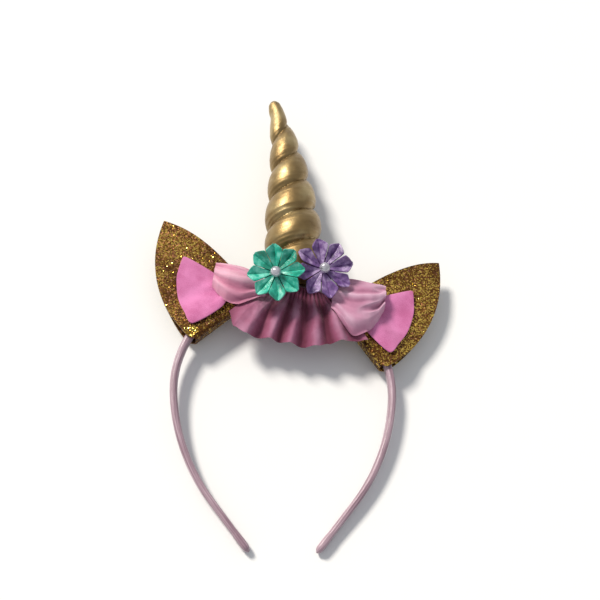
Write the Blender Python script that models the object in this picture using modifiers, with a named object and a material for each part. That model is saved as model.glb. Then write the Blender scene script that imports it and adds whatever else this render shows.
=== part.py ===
# Unicorn horn headband at its real size, in metres, with +Z up.
#
# It is modelled in the plane of the headband: X to the right of the front view, Y from the open ends
# up to the crown, Z out of the front, and the origin at the centre of the crown's arc. Ears, horn,
# ruffle and flowers hang on one empty, which is turned a little round that centre, as on the real one.
# At the end the whole headband is laid on its back, the way it comes to rest on a table.

import math

import bmesh
import bpy
from mathutils import Matrix, Vector
from mathutils.bvhtree import BVHTree

# Fits
GAP = 0.0003                # between two pieces that touch

# Headband, a plastic strip covered with satin ribbon
CROWN_RADIUS = 0.0593       # of the strip's centreline, over the head
CROWN_TURN = 95             # degrees of that arc on each side
ARM_RADIUS = 0.105          # of the flatter arc below it
ARM_TURN = 34
TAIL_LENGTH = 0.0303        # straight end of each arm
BAND_WIDTH = 0.0075         # front to back
BAND_THICKNESS = 0.0048
BAND_TIP_SHARE = 0.74       # section at the tips, as a share of that at the crown
BAND_SOFTNESS = 0.6         # of its edges, as a share of half its thickness
BAND_STEP = 0.0068          # between sections
BAND_NOSE = (               # rounded ends: share of the nose's length, share of the tip's section
    (0.0, 1.0),
    (0.6, 0.84),
    (1.0, 0.45),
)

# Decoration
DECORATION_TURN = 6.4       # degrees clockwise round the crown's centre, seen from the front

# Ears, each a sheet of glitter foam folded round the band
EAR_SHEET = 0.001           # foam
EAR_UPPER_ANGLE = 23.8      # degrees from the middle, where the fold's ends meet the band
EAR_LOWER_ANGLE = 72
EAR_HEIGHT = 0.0705         # from the fold to the tip
EAR_TIP_SHARE = 0.77        # where the tip stands along the fold, from its lower end
EAR_LOWER_BOW = (-0.02, 0.68)   # control points of the two curved sides, as shares of fold and height
EAR_UPPER_BOW = (1.10, 0.70)
EAR_CLOSE_LENGTH = 0.013    # over which the two leaves come together beyond the band
EAR_SIDE_STEPS = 10
EAR_CORNER = 0.0034         # cut off both ends of the fold
EAR_FOLD_SOFTNESS = 0.0014  # of the fold's two bends

# Felt inner ears
FELT = 0.0012
INNER_EAR_HEIGHT = 0.044
INNER_EAR_OUTLINE = (       # shares of the fold and of the inner ear's height
    ("lower corner", 0.135, 0.18),
    ("lower side", 0.165, 0.38),
    ("lower bulge", 0.235, 0.60),
    ("upper bulge", 0.39, 0.83),
    ("tip", 0.585, 0.985),
    ("tip end", 0.65, 1.0),
    ("upper side", 0.72, 0.82),
    ("under the ruffle, top", 0.81, 0.50),
    ("pinch", 0.74, 0.25),
    ("under the ruffle, bottom", 0.55, 0.12),
)

# Horn, a stuffed cone of gold foil cloth bound in a spiral
HORN_LENGTH = 0.129
HORN_DIAMETER = 0.0345      # at its fullest
HORN_FORWARD = 0.004        # centre of its foot in front of the band's middle
HORN_SIDEWAYS = -0.0016     # centre of its foot right of the decoration's middle
HORN_LEAN = 9.5             # degrees to the left at the foot
HORN_BEND = 10.0            # further degrees to the left, all of it by the tip
HORN_BACKWARD_LEAN = 2.0    # degrees
HORN_PITCH = 0.0200         # of the spiral at the foot
HORN_PITCH_TIP_SHARE = 1.10
HORN_SPIRAL_START = 0.82    # turns
HORN_GROOVE = 0.0026        # depth of the spiral groove at the fullest part
HORN_GROOVE_TIP_SHARE = 0.35    # of that depth, left where the horn thins to nothing
HORN_GROOVE_SHARPNESS = 3   # higher for rounder lobes with narrower grooves
HORN_FOOT_CURVE = 0.06      # share of the length in which the horn turns from upright to its lean
HORN_TIP_PLAIN = 0.20       # share of the length in which the groove runs out towards the tip
HORN_BEND_START = 0.35      # share of the length
HORN_AXIS_STEPS = 24
HORN_SIDES = 18
HORN_RINGS = 58
HORN_PROFILE = (            # share of the length, share of the fullest radius
    (0.0, 0.60),
    (0.02, 0.80),
    (0.07, 0.93),
    (0.20, 1.0),
    (0.33, 0.95),
    (0.43, 0.86),
    (0.54, 0.75),
    (0.68, 0.59),
    (0.76, 0.50),
    (0.83, 0.405),
    (0.89, 0.315),
    (0.95, 0.262),
    (0.985, 0.20),
    (1.0, 0.09),
)

# Flowers of folded satin ribbon on a round pad, each with a pearl
PETALS = 8
PETAL_LENGTH = 0.0145
PETAL_START = 0.0021        # from the flower's centre
PETAL_WIDTH = 0.0104        # most, where its neighbours leave it room
PETAL_SHOULDER = 0.62       # share of the length from which it rounds off
PETAL_END_WIDTH = 0.0034    # of its blunt tip
PETAL_RISE = 0.0052         # of its rolled edges above its middle, at its full width
PETAL_ROOT_LIFT = 0.08      # of its middle, as a share of that rise
PETAL_TIP_LIFT = 0.45
PETAL_TIP_EDGE = 0.55       # rise of its edges towards the tip, as a share of that at the root
PETAL_CURL = 1.6            # higher for edges that roll up later
PETAL_ROWS = 7              # faces along and across
PETAL_COLUMNS = 6
RIBBON = 0.0009             # folded satin
PAD_DIAMETER = 0.015        # against the petals
PAD_BACK_DIAMETER = 0.009
PEARL_DIAMETER = 0.006
PAD_STEP = 0.0001           # in which a pad is let in towards the horn
PAD_LONGEST = 0.012
PAD_SIDES = 20
FLOWERS = (                 # place from the band and the horn's front in horn diameters, turns in degrees
    {"name": "mint", "right": -0.377, "up": -0.058, "front": 0.012, "down": 16, "side": -8, "spin": 10},
    {"name": "lavender", "right": 0.342, "up": 0.188, "front": -0.112, "down": 12, "side": 9, "spin": 22.5},
)

# Chiffon ruffle, a frill hanging from the band and a puff on each side of it
CHIFFON = 0.001
CLOTH_RISE = (0.72, 0.94)   # from off the band to over an ear, as shares of the way out to the ear
FRILL_DROP = 0.0365         # from the crown's centreline to the lowest hem
FRILL_WIDTH = 0.078         # along the hem
FRILL_GATHER_WIDTH = 0.034  # along the band
FRILL_OFFSET = 0.003        # of its middle, to the right
FRILL_LIFT = 0.0030         # of its belly in front of the gathers
FRILL_SIDE_SHARE = 0.3      # of that lift, left at the frill's two sides
FRILL_SIDE_CURVE = 3        # higher for a belly that stays full further out
FRILL_BELLY_SHARE = 0.86    # of the belly's whole curve, from the gathers down to the hem
FRILL_SPREAD = 0.85         # lower for a frill that widens sooner
FRILL_FULL_AT = 0.65        # share of the drop at which it is lifted clear of what is behind it
FOLD_DEPTH = 0.0024
FOLD_VALLEY_SHARE = 0.9     # of that depth, by which the cloth is lifted so that its valleys are clear
FOLD_FULL_AT = 0.75         # share of the drop
FRILL_FOLDS = (             # share of the hem, share of the drop, share of the fold depth
    (0.00, 0.62, -0.2),
    (0.05, 0.86, 0.5),
    (0.14, 0.95, 0.9),
    (0.22, 0.96, -0.7),
    (0.31, 0.96, 0.8),
    (0.38, 0.97, -1.0),
    (0.46, 0.99, 0.9),
    (0.54, 1.00, -0.9),
    (0.65, 0.97, 1.0),
    (0.73, 0.89, -0.9),
    (0.82, 0.84, 0.9),
    (0.91, 0.80, -0.5),
    (1.00, 0.76, 0.3),
)
FRILL_COLUMNS = 52          # faces across and down
FRILL_ROWS = 7
PUFF_COLUMNS = 10
PUFF_ROWS = 14
PUFF_PLEAT = 0.0009         # height of its pleats, which run out from the flowers
PUFF_PLEATS = 2.5
PUFF_PLEAT_OUTER_SHARE = 0.45
DRAPE_REACH = 0.0014        # how far beside a fold of the frill a puff still clears it
DRAPE_SLOPE = 0.9           # of a puff where it comes down beside the frill
PUFF_RIM_SHARE = 0.80       # height of a puff's upper and lower edges, as a share of its middle's
PUFF_RIM_CURVE = 2.4        # higher for edges that turn down later
PUFFS = (                   # in crown radii; rows: along, top, bottom and height, as shares of those
    {
        "name": "puff_left", "start": -0.295, "end": -0.801, "above": 0.1046, "below": 0.337,
        "height": 0.2395, "rows": (
            (0.00, -0.30, 0.55, 0.84),
            (0.20, 0.30, 0.72, 0.90),
            (0.45, 0.62, 0.92, 1.00),
            (0.70, 0.80, 0.84, 0.94),
            (0.88, 0.92, 0.62, 0.74),
            (1.00, 0.98, 0.42, 0.62),
        ),
    },
    {
        "name": "puff_right", "start": 0.329, "end": 0.843, "above": 0.135, "below": 0.452,
        "height": 0.253, "rows": (
            (0.00, 0.10, 0.50, 0.86),
            (0.20, 0.78, 0.78, 0.92),
            (0.45, 0.86, 1.00, 1.00),
            (0.70, 0.80, 0.88, 0.92),
            (0.88, 0.90, 0.62, 0.70),
            (1.00, 0.94, 0.30, 0.58),
        ),
    },
)

# What the pieces weigh, in kilograms per cubic metre, to find how the headband lies
PLASTIC_DENSITY = 1100
CLOTH_DENSITY = 300


def clear_scene():
    for old in list(bpy.data.objects):
        bpy.data.objects.remove(old)


def new_collection(name):
    made = bpy.data.collections.new(name)
    bpy.context.scene.collection.children.link(made)
    return made


def new_material(name, colour, roughness, metallic=0.0):
    made = bpy.data.materials.new(name)
    made.use_nodes = True
    shader = made.node_tree.nodes["Principled BSDF"]
    shader.inputs["Base Color"].default_value = (*colour, 1.0)
    shader.inputs["Roughness"].default_value = roughness
    shader.inputs["Metallic"].default_value = metallic
    made.diffuse_color = (*colour, 1.0)
    return made


def new_object(name, mesh, parent, material):
    """Links a mesh as a part, smooth where its faces meet at less than 40 degrees."""
    obj = bpy.data.objects.new(name, mesh)
    parts.objects.link(obj)
    obj.parent = parent
    mesh.shade_smooth()
    mesh.set_sharp_from_angle(angle=math.radians(40))
    mesh.materials.append(material)
    return obj


def mesh_from(bm, name):
    mesh = bpy.data.meshes.new(name)
    bmesh.ops.recalc_face_normals(bm, faces=bm.faces[:])
    bm.to_mesh(mesh)
    bm.free()
    return mesh


def smooth(share):
    share = min(1.0, max(0.0, share))
    return share * share * (3 - 2 * share)


def read_table(rows, place, column):
    """The value of a column at a place, read smoothly between the table's rows."""
    for before, after in zip(rows, rows[1:]):
        if place <= after[0]:
            share = (place - before[0]) / (after[0] - before[0])
            return before[column] + (after[column] - before[column]) * smooth(share)
    return rows[-1][column]


def read_line(rows, place):
    """The second column's value at a place, read straight between the table's rows."""
    for before, after in zip(rows, rows[1:]):
        if place <= after[0]:
            share = (place - before[0]) / (after[0] - before[0])
            return before[1] + (after[1] - before[1]) * share
    return rows[-1][1]


# Headband


def band_place(distance):
    """Centreline point and heading angle at a distance from the crown's top, down the right arm."""
    crown_end = math.radians(CROWN_TURN)
    arm_end = crown_end + math.radians(ARM_TURN)
    crown_length = CROWN_RADIUS * crown_end
    arm_length = ARM_RADIUS * math.radians(ARM_TURN)
    if distance <= crown_length:
        angle = distance / CROWN_RADIUS
        return CROWN_RADIUS * math.sin(angle), CROWN_RADIUS * math.cos(angle), angle
    shift = CROWN_RADIUS - ARM_RADIUS
    centre = (shift * math.sin(crown_end), shift * math.cos(crown_end))
    angle = min(arm_end, crown_end + (distance - crown_length) / ARM_RADIUS)
    tail = max(0.0, distance - crown_length - arm_length)
    x = centre[0] + ARM_RADIUS * math.sin(angle) + tail * math.cos(angle)
    y = centre[1] + ARM_RADIUS * math.cos(angle) - tail * math.sin(angle)
    return x, y, angle


def band_half_length():
    return CROWN_RADIUS * math.radians(CROWN_TURN) + ARM_RADIUS * math.radians(ARM_TURN) + TAIL_LENGTH


def band_section(distance, share):
    """Corners of the strip's rounded section, of that share of its full size, at a distance."""
    x, y, angle = band_place(abs(distance))
    side = 1 if distance > 0 else -1
    outward = Vector((math.sin(angle) * side, math.cos(angle), 0))
    centre = Vector((x * side, y, 0))
    width = BAND_WIDTH / 2 * share
    thick = BAND_THICKNESS / 2 * share
    soft = thick * BAND_SOFTNESS
    corners = (
        (width - soft, thick), (width, thick - soft), (width, soft - thick), (width - soft, -thick),
        (soft - width, -thick), (-width, soft - thick), (-width, thick - soft), (soft - width, thick),
    )
    return [centre + outward * out + Vector((0, 0, front)) for front, out in corners]


def band_sections():
    """Distances along the strip and shares of its full section, with a flat facet at the crown."""
    half = band_half_length()
    nose = BAND_THICKNESS * BAND_TIP_SHARE
    count = round((half - nose) / BAND_STEP)
    step = (half - nose) / (count + 0.5)
    places = [step * (i + 0.5) for i in range(count)]
    arm = [(place, 1 - (1 - BAND_TIP_SHARE) * smooth(place / half)) for place in places]
    arm += [(half - nose + nose * share, BAND_TIP_SHARE * shrink) for share, shrink in BAND_NOSE]
    return [(-distance, share) for distance, share in reversed(arm)] + arm


def build_headband(parent):
    bm = bmesh.new()
    loops = [[bm.verts.new(p) for p in band_section(*section)] for section in band_sections()]
    skin(bm, loops)
    bm.faces.new(loops[0])
    bm.faces.new(loops[-1])
    return new_object("headband", mesh_from(bm, "headband"), parent, satin_pink)


def skin(bm, loops):
    """Faces between each closed loop of points and the next."""
    for lower, upper in zip(loops, loops[1:]):
        for i in range(len(lower)):
            j = (i + 1) % len(lower)
            bm.faces.new((lower[i], lower[j], upper[j], upper[i]))


# Ears


def bow(start, control, end, steps):
    """Points of a quadratic curve, without its last one."""
    found = []
    for i in range(steps):
        t = i / steps
        found.append(start * (1 - t) ** 2 + control * (2 * t * (1 - t)) + end * t * t)
    return found


def fold_radius():
    """From the crown's centre to the fold's outer face at both of its ends."""
    return CROWN_RADIUS - BAND_THICKNESS / 2 - GAP - EAR_SHEET


def fold_length():
    return 2 * fold_radius() * math.sin(math.radians(EAR_LOWER_ANGLE - EAR_UPPER_ANGLE) / 2)


def band_outside_in_ear():
    """Height above the fold of the band's outer face, where the band bows out most."""
    half_angle = math.radians(EAR_LOWER_ANGLE - EAR_UPPER_ANGLE) / 2
    return CROWN_RADIUS + BAND_THICKNESS / 2 - fold_radius() * math.cos(half_angle)


def ear_half_thickness(height, skin_depth):
    """Half of the ear's thickness at a height above the fold, in to its skin or to its hollow."""
    open_half = BAND_WIDTH / 2 + GAP + skin_depth
    straight, _ = leaf_heights()
    if height <= straight:
        return open_half
    share = (height - straight) / EAR_CLOSE_LENGTH
    return max(skin_depth, open_half - (BAND_WIDTH / 2 + GAP) * share)


def ear_frame(side):
    """Matrix from the ear's own frame, X along the fold and Y up from it, to the decoration's."""
    middle = math.radians(EAR_UPPER_ANGLE + EAR_LOWER_ANGLE) / 2
    lower = math.radians(EAR_LOWER_ANGLE)
    corner = Vector((math.sin(lower), math.cos(lower), 0)) * fold_radius()
    along = Vector((-math.cos(middle), math.sin(middle), 0))
    up = Vector((math.sin(middle), math.cos(middle), 0))
    turned = Matrix((
        (along.x, up.x, 0, corner.x),
        (along.y, up.y, 0, corner.y),
        (0, 0, -1, 0),
        (0, 0, 0, 1),
    ))
    return turned if side > 0 else Matrix.Rotation(math.pi, 4, "Y") @ turned


def extrude_outline(name, points, low, high):
    """A flat outline as a solid between two heights."""
    bm = bmesh.new()
    face = bm.faces.new([bm.verts.new((x, y, low)) for x, y in points])
    made = bmesh.ops.extrude_face_region(bm, geom=[face])
    top = [v for v in made["geom"] if isinstance(v, bmesh.types.BMVert)]
    bmesh.ops.translate(bm, verts=top, vec=(0, 0, high - low))
    return mesh_from(bm, name)


def prism(name, profile, length):
    """A solid along X whose section is a profile of (height, depth) points."""
    bm = bmesh.new()
    face = bm.faces.new([bm.verts.new((-length / 2, y, z)) for y, z in profile])
    made = bmesh.ops.extrude_face_region(bm, geom=[face])
    far = [v for v in made["geom"] if isinstance(v, bmesh.types.BMVert)]
    bmesh.ops.translate(bm, verts=far, vec=(length, 0, 0))
    mesh = mesh_from(bm, name)
    tool = bpy.data.objects.new(name, mesh)
    cutters.objects.link(tool)
    tool.hide_render = True
    tool.display_type = "WIRE"
    return tool


def boolean(obj, tool, operation):
    tool.parent = obj.parent
    tool.matrix_basis = obj.matrix_basis
    modifier = obj.modifiers.new(tool.name, "BOOLEAN")
    modifier.object = tool
    modifier.operation = operation
    modifier.solver = "EXACT"


def ear_outline():
    fold = fold_length()
    lower = Vector((0, EAR_CORNER))
    upper = Vector((fold, EAR_CORNER))
    tip = Vector((fold * EAR_TIP_SHARE, EAR_HEIGHT))
    lower_bow = Vector((fold * EAR_LOWER_BOW[0], EAR_HEIGHT * EAR_LOWER_BOW[1]))
    upper_bow = Vector((fold * EAR_UPPER_BOW[0], EAR_HEIGHT * EAR_UPPER_BOW[1]))
    points = bow(lower, lower_bow, tip, EAR_SIDE_STEPS) + bow(tip, upper_bow, upper, EAR_SIDE_STEPS)
    inwards = EAR_CORNER + EAR_SHEET
    return points + [upper, upper + Vector((-inwards, -inwards)), lower + Vector((inwards, -inwards))]


def leaf_heights():
    """Heights above the fold at which the leaves begin to close, and at which they meet."""
    straight = band_outside_in_ear() + GAP
    return straight, straight + EAR_CLOSE_LENGTH


def build_ear(side, parent):
    name = "ear_right" if side > 0 else "ear_left"
    reach = 2 * EAR_HEIGHT
    deep = BAND_WIDTH
    obj = new_object(name, extrude_outline(name, ear_outline(), -deep, deep), parent, gold_glitter)
    obj.matrix_basis = ear_frame(side)
    straight, closed = leaf_heights()
    half = ear_half_thickness(0, EAR_SHEET)
    outer = [(0, half - EAR_FOLD_SOFTNESS), (EAR_FOLD_SOFTNESS, half)]
    outer += [(h, ear_half_thickness(h, EAR_SHEET)) for h in (straight, closed, reach)]
    profile = outer + [(h, -z) for h, z in reversed(outer)]
    boolean(obj, prism(name + "_leaves", profile, reach * 2), "INTERSECT")
    inside = ear_half_thickness(straight, 0)
    bend = EAR_FOLD_SOFTNESS / 2
    front = [(EAR_SHEET, inside - bend), (EAR_SHEET + bend, inside), (straight, inside)]
    hollow = front + [(closed, 0)] + [(h, -z) for h, z in reversed(front)]
    boolean(obj, prism(name + "_hollow", hollow, reach * 2), "DIFFERENCE")
    return obj


def build_inner_ear(side, parent):
    name = "inner_ear_right" if side > 0 else "inner_ear_left"
    fold = fold_length()
    front = -1 if side > 0 else 1
    points = [(along * fold, up * INNER_EAR_HEIGHT) for _, along, up in INNER_EAR_OUTLINE]
    deep = BAND_WIDTH * 2
    obj = new_object(name, extrude_outline(name, points, -deep, deep), parent, pink_felt)
    obj.matrix_basis = ear_frame(side)
    reach = 2 * EAR_HEIGHT
    heights = (-FELT, *leaf_heights(), reach)
    under = [(h, front * (ear_half_thickness(h, EAR_SHEET) + GAP)) for h in heights]
    over = [(h, z + front * FELT) for h, z in under]
    boolean(obj, prism(name + "_sheet", under + over[::-1], reach * 2), "INTERSECT")
    return obj


# Horn


def horn_axis(share):
    """Point on the horn's curved axis and its direction there."""
    place = Vector((HORN_SIDEWAYS, horn_foot(), HORN_FORWARD))
    for i in range(HORN_AXIS_STEPS):
        direction = horn_direction(share * (i + 0.5) / HORN_AXIS_STEPS)
        place = place + direction * (HORN_LENGTH * share / HORN_AXIS_STEPS)
    return place, horn_direction(share)


def horn_foot():
    """Height of the horn's flat foot, just clear of the band's outer face."""
    return CROWN_RADIUS + BAND_THICKNESS / 2 + GAP


def horn_direction(share):
    bend = HORN_BEND * smooth((share - HORN_BEND_START) / (1 - HORN_BEND_START))
    lean = math.radians(HORN_LEAN + bend)
    back = math.radians(HORN_BACKWARD_LEAN)
    turned = smooth(share / HORN_FOOT_CURVE)
    return Vector((-math.sin(lean) * turned, math.cos(lean), -math.sin(back) * turned)).normalized()


def horn_turns(share):
    """Turns of the spiral from the foot up to a share of the length."""
    tip_pitch = HORN_PITCH * HORN_PITCH_TIP_SHARE
    slope = tip_pitch - HORN_PITCH
    return HORN_LENGTH / slope * math.log(1 + slope / HORN_PITCH * share)


def horn_radius(share, angle):
    radius = HORN_DIAMETER / 2 * read_line(HORN_PROFILE, share)
    phase = (HORN_SPIRAL_START + horn_turns(share) + angle / math.tau) % 1.0
    valley = abs(2 * phase - 1) ** HORN_GROOVE_SHARPNESS
    fade = smooth(share / HORN_FOOT_CURVE) * smooth((1 - share) / HORN_TIP_PLAIN)
    thinning = radius / (HORN_DIAMETER / 2)
    depth = HORN_GROOVE * (HORN_GROOVE_TIP_SHARE + (1 - HORN_GROOVE_TIP_SHARE) * thinning)
    return radius - depth * valley * fade


def horn_ring_axes(direction):
    """Two axes across the horn, to its right and out of its front."""
    side = direction.cross(Vector((0, 0, 1))).normalized()
    return side, side.cross(direction)


def build_horn(parent):
    bm = bmesh.new()
    loops = []
    for k in range(HORN_RINGS + 1):
        share = k / HORN_RINGS
        place, direction = horn_axis(share)
        side, front = horn_ring_axes(direction)
        loop = []
        for i in range(HORN_SIDES):
            angle = math.tau * i / HORN_SIDES
            radius = horn_radius(share, angle)
            out = side * math.cos(angle) + front * math.sin(angle)
            loop.append(bm.verts.new(place + out * radius))
        loops.append(loop)
    skin(bm, loops)
    bm.faces.new(loops[0])
    top, direction = horn_axis(1.0)
    peak = bm.verts.new(top + direction * horn_radius(1.0, 0.0))
    for i in range(HORN_SIDES):
        bm.faces.new((loops[-1][i], loops[-1][(i + 1) % HORN_SIDES], peak))
    return new_object("horn", mesh_from(bm, "horn"), parent, gold_foil)


# Flowers


def petal_point(along, across):
    """Middle of the folded ribbon, in the petal's own frame: X outwards, Z towards the viewer."""
    reach = PETAL_START + PETAL_LENGTH * along
    turn = math.pi / PETALS
    sector = math.tan(turn) * reach - GAP / 2 / math.cos(turn)
    past = max(0.0, along - PETAL_SHOULDER) / (1 - PETAL_SHOULDER)
    rounded = PETAL_WIDTH / 2 * math.sqrt(max(0.0, 1 - past * past))
    half = max(PETAL_END_WIDTH / 2, min(sector, rounded)) if along > 0.5 else sector
    middle = PETAL_ROOT_LIFT + (PETAL_TIP_LIFT - PETAL_ROOT_LIFT) * along * along
    opened = (half / (PETAL_WIDTH / 2)) ** 2
    edge = opened * (1 - (1 - PETAL_TIP_EDGE) * along) * abs(across) ** PETAL_CURL
    return Vector((reach, half * across, PETAL_RISE * (middle + edge)))


def petal_top(along, across):
    """The ribbon's upper face over that point."""
    step = 0.01
    outwards = petal_point(along + step, across) - petal_point(along - step, across)
    sideways = petal_point(along, across + step) - petal_point(along, across - step)
    return petal_point(along, across) + outwards.cross(sideways).normalized() * RIBBON


def build_petal(name, angle, parent, material):
    obj = new_object(name, sheet_mesh(name, PETAL_ROWS, PETAL_COLUMNS, petal_point), parent, material)
    obj.matrix_basis = Matrix.Rotation(math.radians(angle), 4, "Z")
    thicken(obj, RIBBON, 1)
    return obj


def thicken(obj, depth, offset=0):
    modifier = obj.modifiers.new("Thickness", "SOLIDIFY")
    modifier.thickness = depth
    modifier.offset = offset
    modifier.use_even_offset = False
    modifier.use_rim = True


def build_flower(flower, horn_skin, parent, material):
    name = flower["name"]
    hub = bpy.data.objects.new(name + "_flower", None)
    parts.objects.link(hub)
    hub.parent = parent
    right, up, front = (HORN_DIAMETER * flower[way] for way in ("right", "up", "front"))
    place = Vector((right, CROWN_RADIUS + up, HORN_FORWARD + HORN_DIAMETER / 2 + front))
    tilt = Matrix.Rotation(math.radians(flower["down"]), 4, "X")
    lean = Matrix.Rotation(math.radians(flower["side"]), 4, "Y")
    hub.matrix_basis = Matrix.Translation(place) @ lean @ tilt
    for i in range(PETALS):
        build_petal(f"{name}_petal_{i + 1}", flower["spin"] + 360 * i / PETALS, hub, material)
    build_pad(name + "_pad", pad_depth(hub.matrix_basis, horn_skin), hub, material)
    build_pearl(name + "_pearl", hub)


def build_pad(name, depth, hub, material):
    front, back = PAD_DIAMETER / 2, PAD_BACK_DIAMETER / 2
    bm = bmesh.new()
    bmesh.ops.create_cone(bm, cap_ends=True, segments=PAD_SIDES, radius1=back, radius2=front, depth=depth)
    bmesh.ops.translate(bm, verts=bm.verts[:], vec=(0, 0, -GAP - depth / 2))
    new_object(name, mesh_from(bm, name), hub, material)


def pearl_height():
    """Height of a bead's centre where it just clears the petals round it."""
    clear = PEARL_DIAMETER / 2 + GAP
    along = [row / PETAL_ROWS for row in range(PETAL_ROWS + 1)]
    across = [2 * column / PETAL_COLUMNS - 1 for column in range(PETAL_COLUMNS + 1)]
    tops = [petal_top(row, column) for row in along for column in across]
    near = [(point.z, point.xy.length) for point in tops if point.xy.length < clear]
    return max(z + math.sqrt(clear * clear - out * out) for z, out in near)


def build_pearl(name, hub):
    bm = bmesh.new()
    bmesh.ops.create_uvsphere(bm, u_segments=14, v_segments=9, radius=PEARL_DIAMETER / 2)
    bmesh.ops.translate(bm, verts=bm.verts[:], vec=(0, 0, pearl_height()))
    new_object(name, mesh_from(bm, name), hub, pearl_white)


def pad_points(depth):
    """Points of a pad's wall and back, in the flower's own frame."""
    front, back = PAD_DIAMETER / 2, PAD_BACK_DIAMETER / 2
    rings = [(back, 1.0), (back * 0.5, 1.0), ((front + back) / 2, 0.5), (front, 0.0)]
    turns = [math.tau * i / PAD_SIDES for i in range(PAD_SIDES)]
    return [
        Vector((radius * math.cos(turn), radius * math.sin(turn), -GAP - depth * share))
        for radius, share in rings for turn in turns
    ]


def pad_depth(frame, horn_skin):
    """How far a pad reaches back from its petals before it would touch the horn."""
    depth = PAD_STEP
    while depth < PAD_LONGEST:
        deeper = pad_points(depth + PAD_STEP)
        if min(horn_skin.find_nearest(frame @ point)[3] for point in deeper) < GAP:
            break
        depth += PAD_STEP
    return depth


# Chiffon


def cloth_base(x):
    """Height of the cloth's middle where it just clears the band, or the ears on both sides of it."""
    over_band = BAND_WIDTH / 2 + GAP + CHIFFON / 2
    over_ear = over_band + GAP + EAR_SHEET
    corner = fold_radius() * math.sin(math.radians(EAR_UPPER_ANGLE))
    start, end = (share * corner for share in CLOTH_RISE)
    return over_band + (over_ear - over_band) * smooth((abs(x) - start) / (end - start))


def frill_point(across, down):
    """Middle of the hanging frill's cloth: across from left to right, down from gathers to hem."""
    gather_x = FRILL_OFFSET + FRILL_GATHER_WIDTH * (across - 0.5)
    hem_x = FRILL_OFFSET + FRILL_WIDTH * (across - 0.5)
    gather_y = CROWN_RADIUS * math.cos(gather_x / CROWN_RADIUS)
    hem_y = CROWN_RADIUS - FRILL_DROP * read_table(FRILL_FOLDS, across, 1)
    x = gather_x + (hem_x - gather_x) * down ** FRILL_SPREAD
    y = gather_y + (hem_y - gather_y) * down
    side = 1 - (1 - FRILL_SIDE_SHARE) * abs(2 * across - 1) ** FRILL_SIDE_CURVE
    belly = FRILL_LIFT * side * math.sin(math.pi * smooth(down * FRILL_BELLY_SHARE))
    fold = FOLD_DEPTH * read_table(FRILL_FOLDS, across, 2) * smooth(down / FOLD_FULL_AT)
    lift = (FOLD_DEPTH * FOLD_VALLEY_SHARE + belly) * smooth(down / FRILL_FULL_AT)
    return Vector((x, y, cloth_base(x) + lift + fold))


def frill_samples():
    """Points all over the frill, twice as close together down it as its faces are."""
    across = [column / FRILL_COLUMNS for column in range(FRILL_COLUMNS + 1)]
    down = [row / FRILL_ROWS / 2 for row in range(FRILL_ROWS * 2 + 1)]
    return [frill_point(column, row) for column in across for row in down]


def height_over(points, x, y):
    """Least height at which cloth clears those points, sloping off beside them."""
    clear = CHIFFON + GAP * 2
    found = 0.0
    for point in points:
        beside = max(0.0, math.hypot(point.x - x, point.y - y) - DRAPE_REACH)
        found = max(found, point.z + clear - DRAPE_SLOPE * beside)
    return found


def puff_point(puff, frill, along, across):
    """Middle of a puff's cloth: along from the flowers out to the ear, across from top to bottom."""
    x = CROWN_RADIUS * (puff["start"] + (puff["end"] - puff["start"]) * along)
    top = CROWN_RADIUS * (1 + puff["above"] * read_table(puff["rows"], along, 1))
    bottom = CROWN_RADIUS * (1 - puff["below"] * read_table(puff["rows"], along, 2))
    y = top + (bottom - top) * across
    height = CROWN_RADIUS * puff["height"] * read_table(puff["rows"], along, 3)
    rim = abs(2 * across - 1) ** PUFF_RIM_CURVE
    fading = 1 - (1 - PUFF_PLEAT_OUTER_SHARE) * along
    pleat = PUFF_PLEAT * fading * math.cos(math.tau * PUFF_PLEATS * across)
    arch = height * (1 - (1 - PUFF_RIM_SHARE) * rim) + pleat
    return Vector((x, y, max(arch, height_over(frill, x, y))))


def sheet_mesh(name, columns, rows, point):
    """An open sheet whose points a function gives, from 0 to 1 one way and from -1 to 1 the other."""
    bm = bmesh.new()
    bmesh.ops.create_grid(bm, x_segments=columns, y_segments=rows, size=1.0)
    for v in bm.verts:
        v.co = point((v.co.x + 1) / 2, v.co.y)
    mesh = bpy.data.meshes.new(name)
    bm.to_mesh(mesh)
    bm.free()
    return mesh


def build_frill(parent):
    mesh = sheet_mesh("frill", FRILL_COLUMNS, FRILL_ROWS, lambda along, y: frill_point(along, (1 - y) / 2))
    thicken(new_object("frill", mesh, parent, pink_chiffon), CHIFFON)


def build_puff(puff, frill, parent):
    name = puff["name"]
    mesh = sheet_mesh(
        name, PUFF_COLUMNS, PUFF_ROWS, lambda along, y: puff_point(puff, frill, along, (1 - y) / 2)
    )
    thicken(new_object(name, mesh, parent, pink_chiffon), CHIFFON)


# The whole, and how it lies


def solid_moment(obj, graph, density):
    """Mass of a piece, its first moment and its points, in the frame of the headband."""
    mesh = obj.evaluated_get(graph).to_mesh()
    mesh.calc_loop_triangles()
    mass = 0.0
    moment = Vector()
    for triangle in mesh.loop_triangles:
        a, b, c = (obj.matrix_world @ mesh.vertices[i].co for i in triangle.vertices)
        part = a.dot(b.cross(c)) / 6 * density
        mass += part
        moment += (a + b + c) / 4 * part
    points = [obj.matrix_world @ v.co for v in mesh.vertices]
    return abs(mass), moment * (1 if mass > 0 else -1), points


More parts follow.
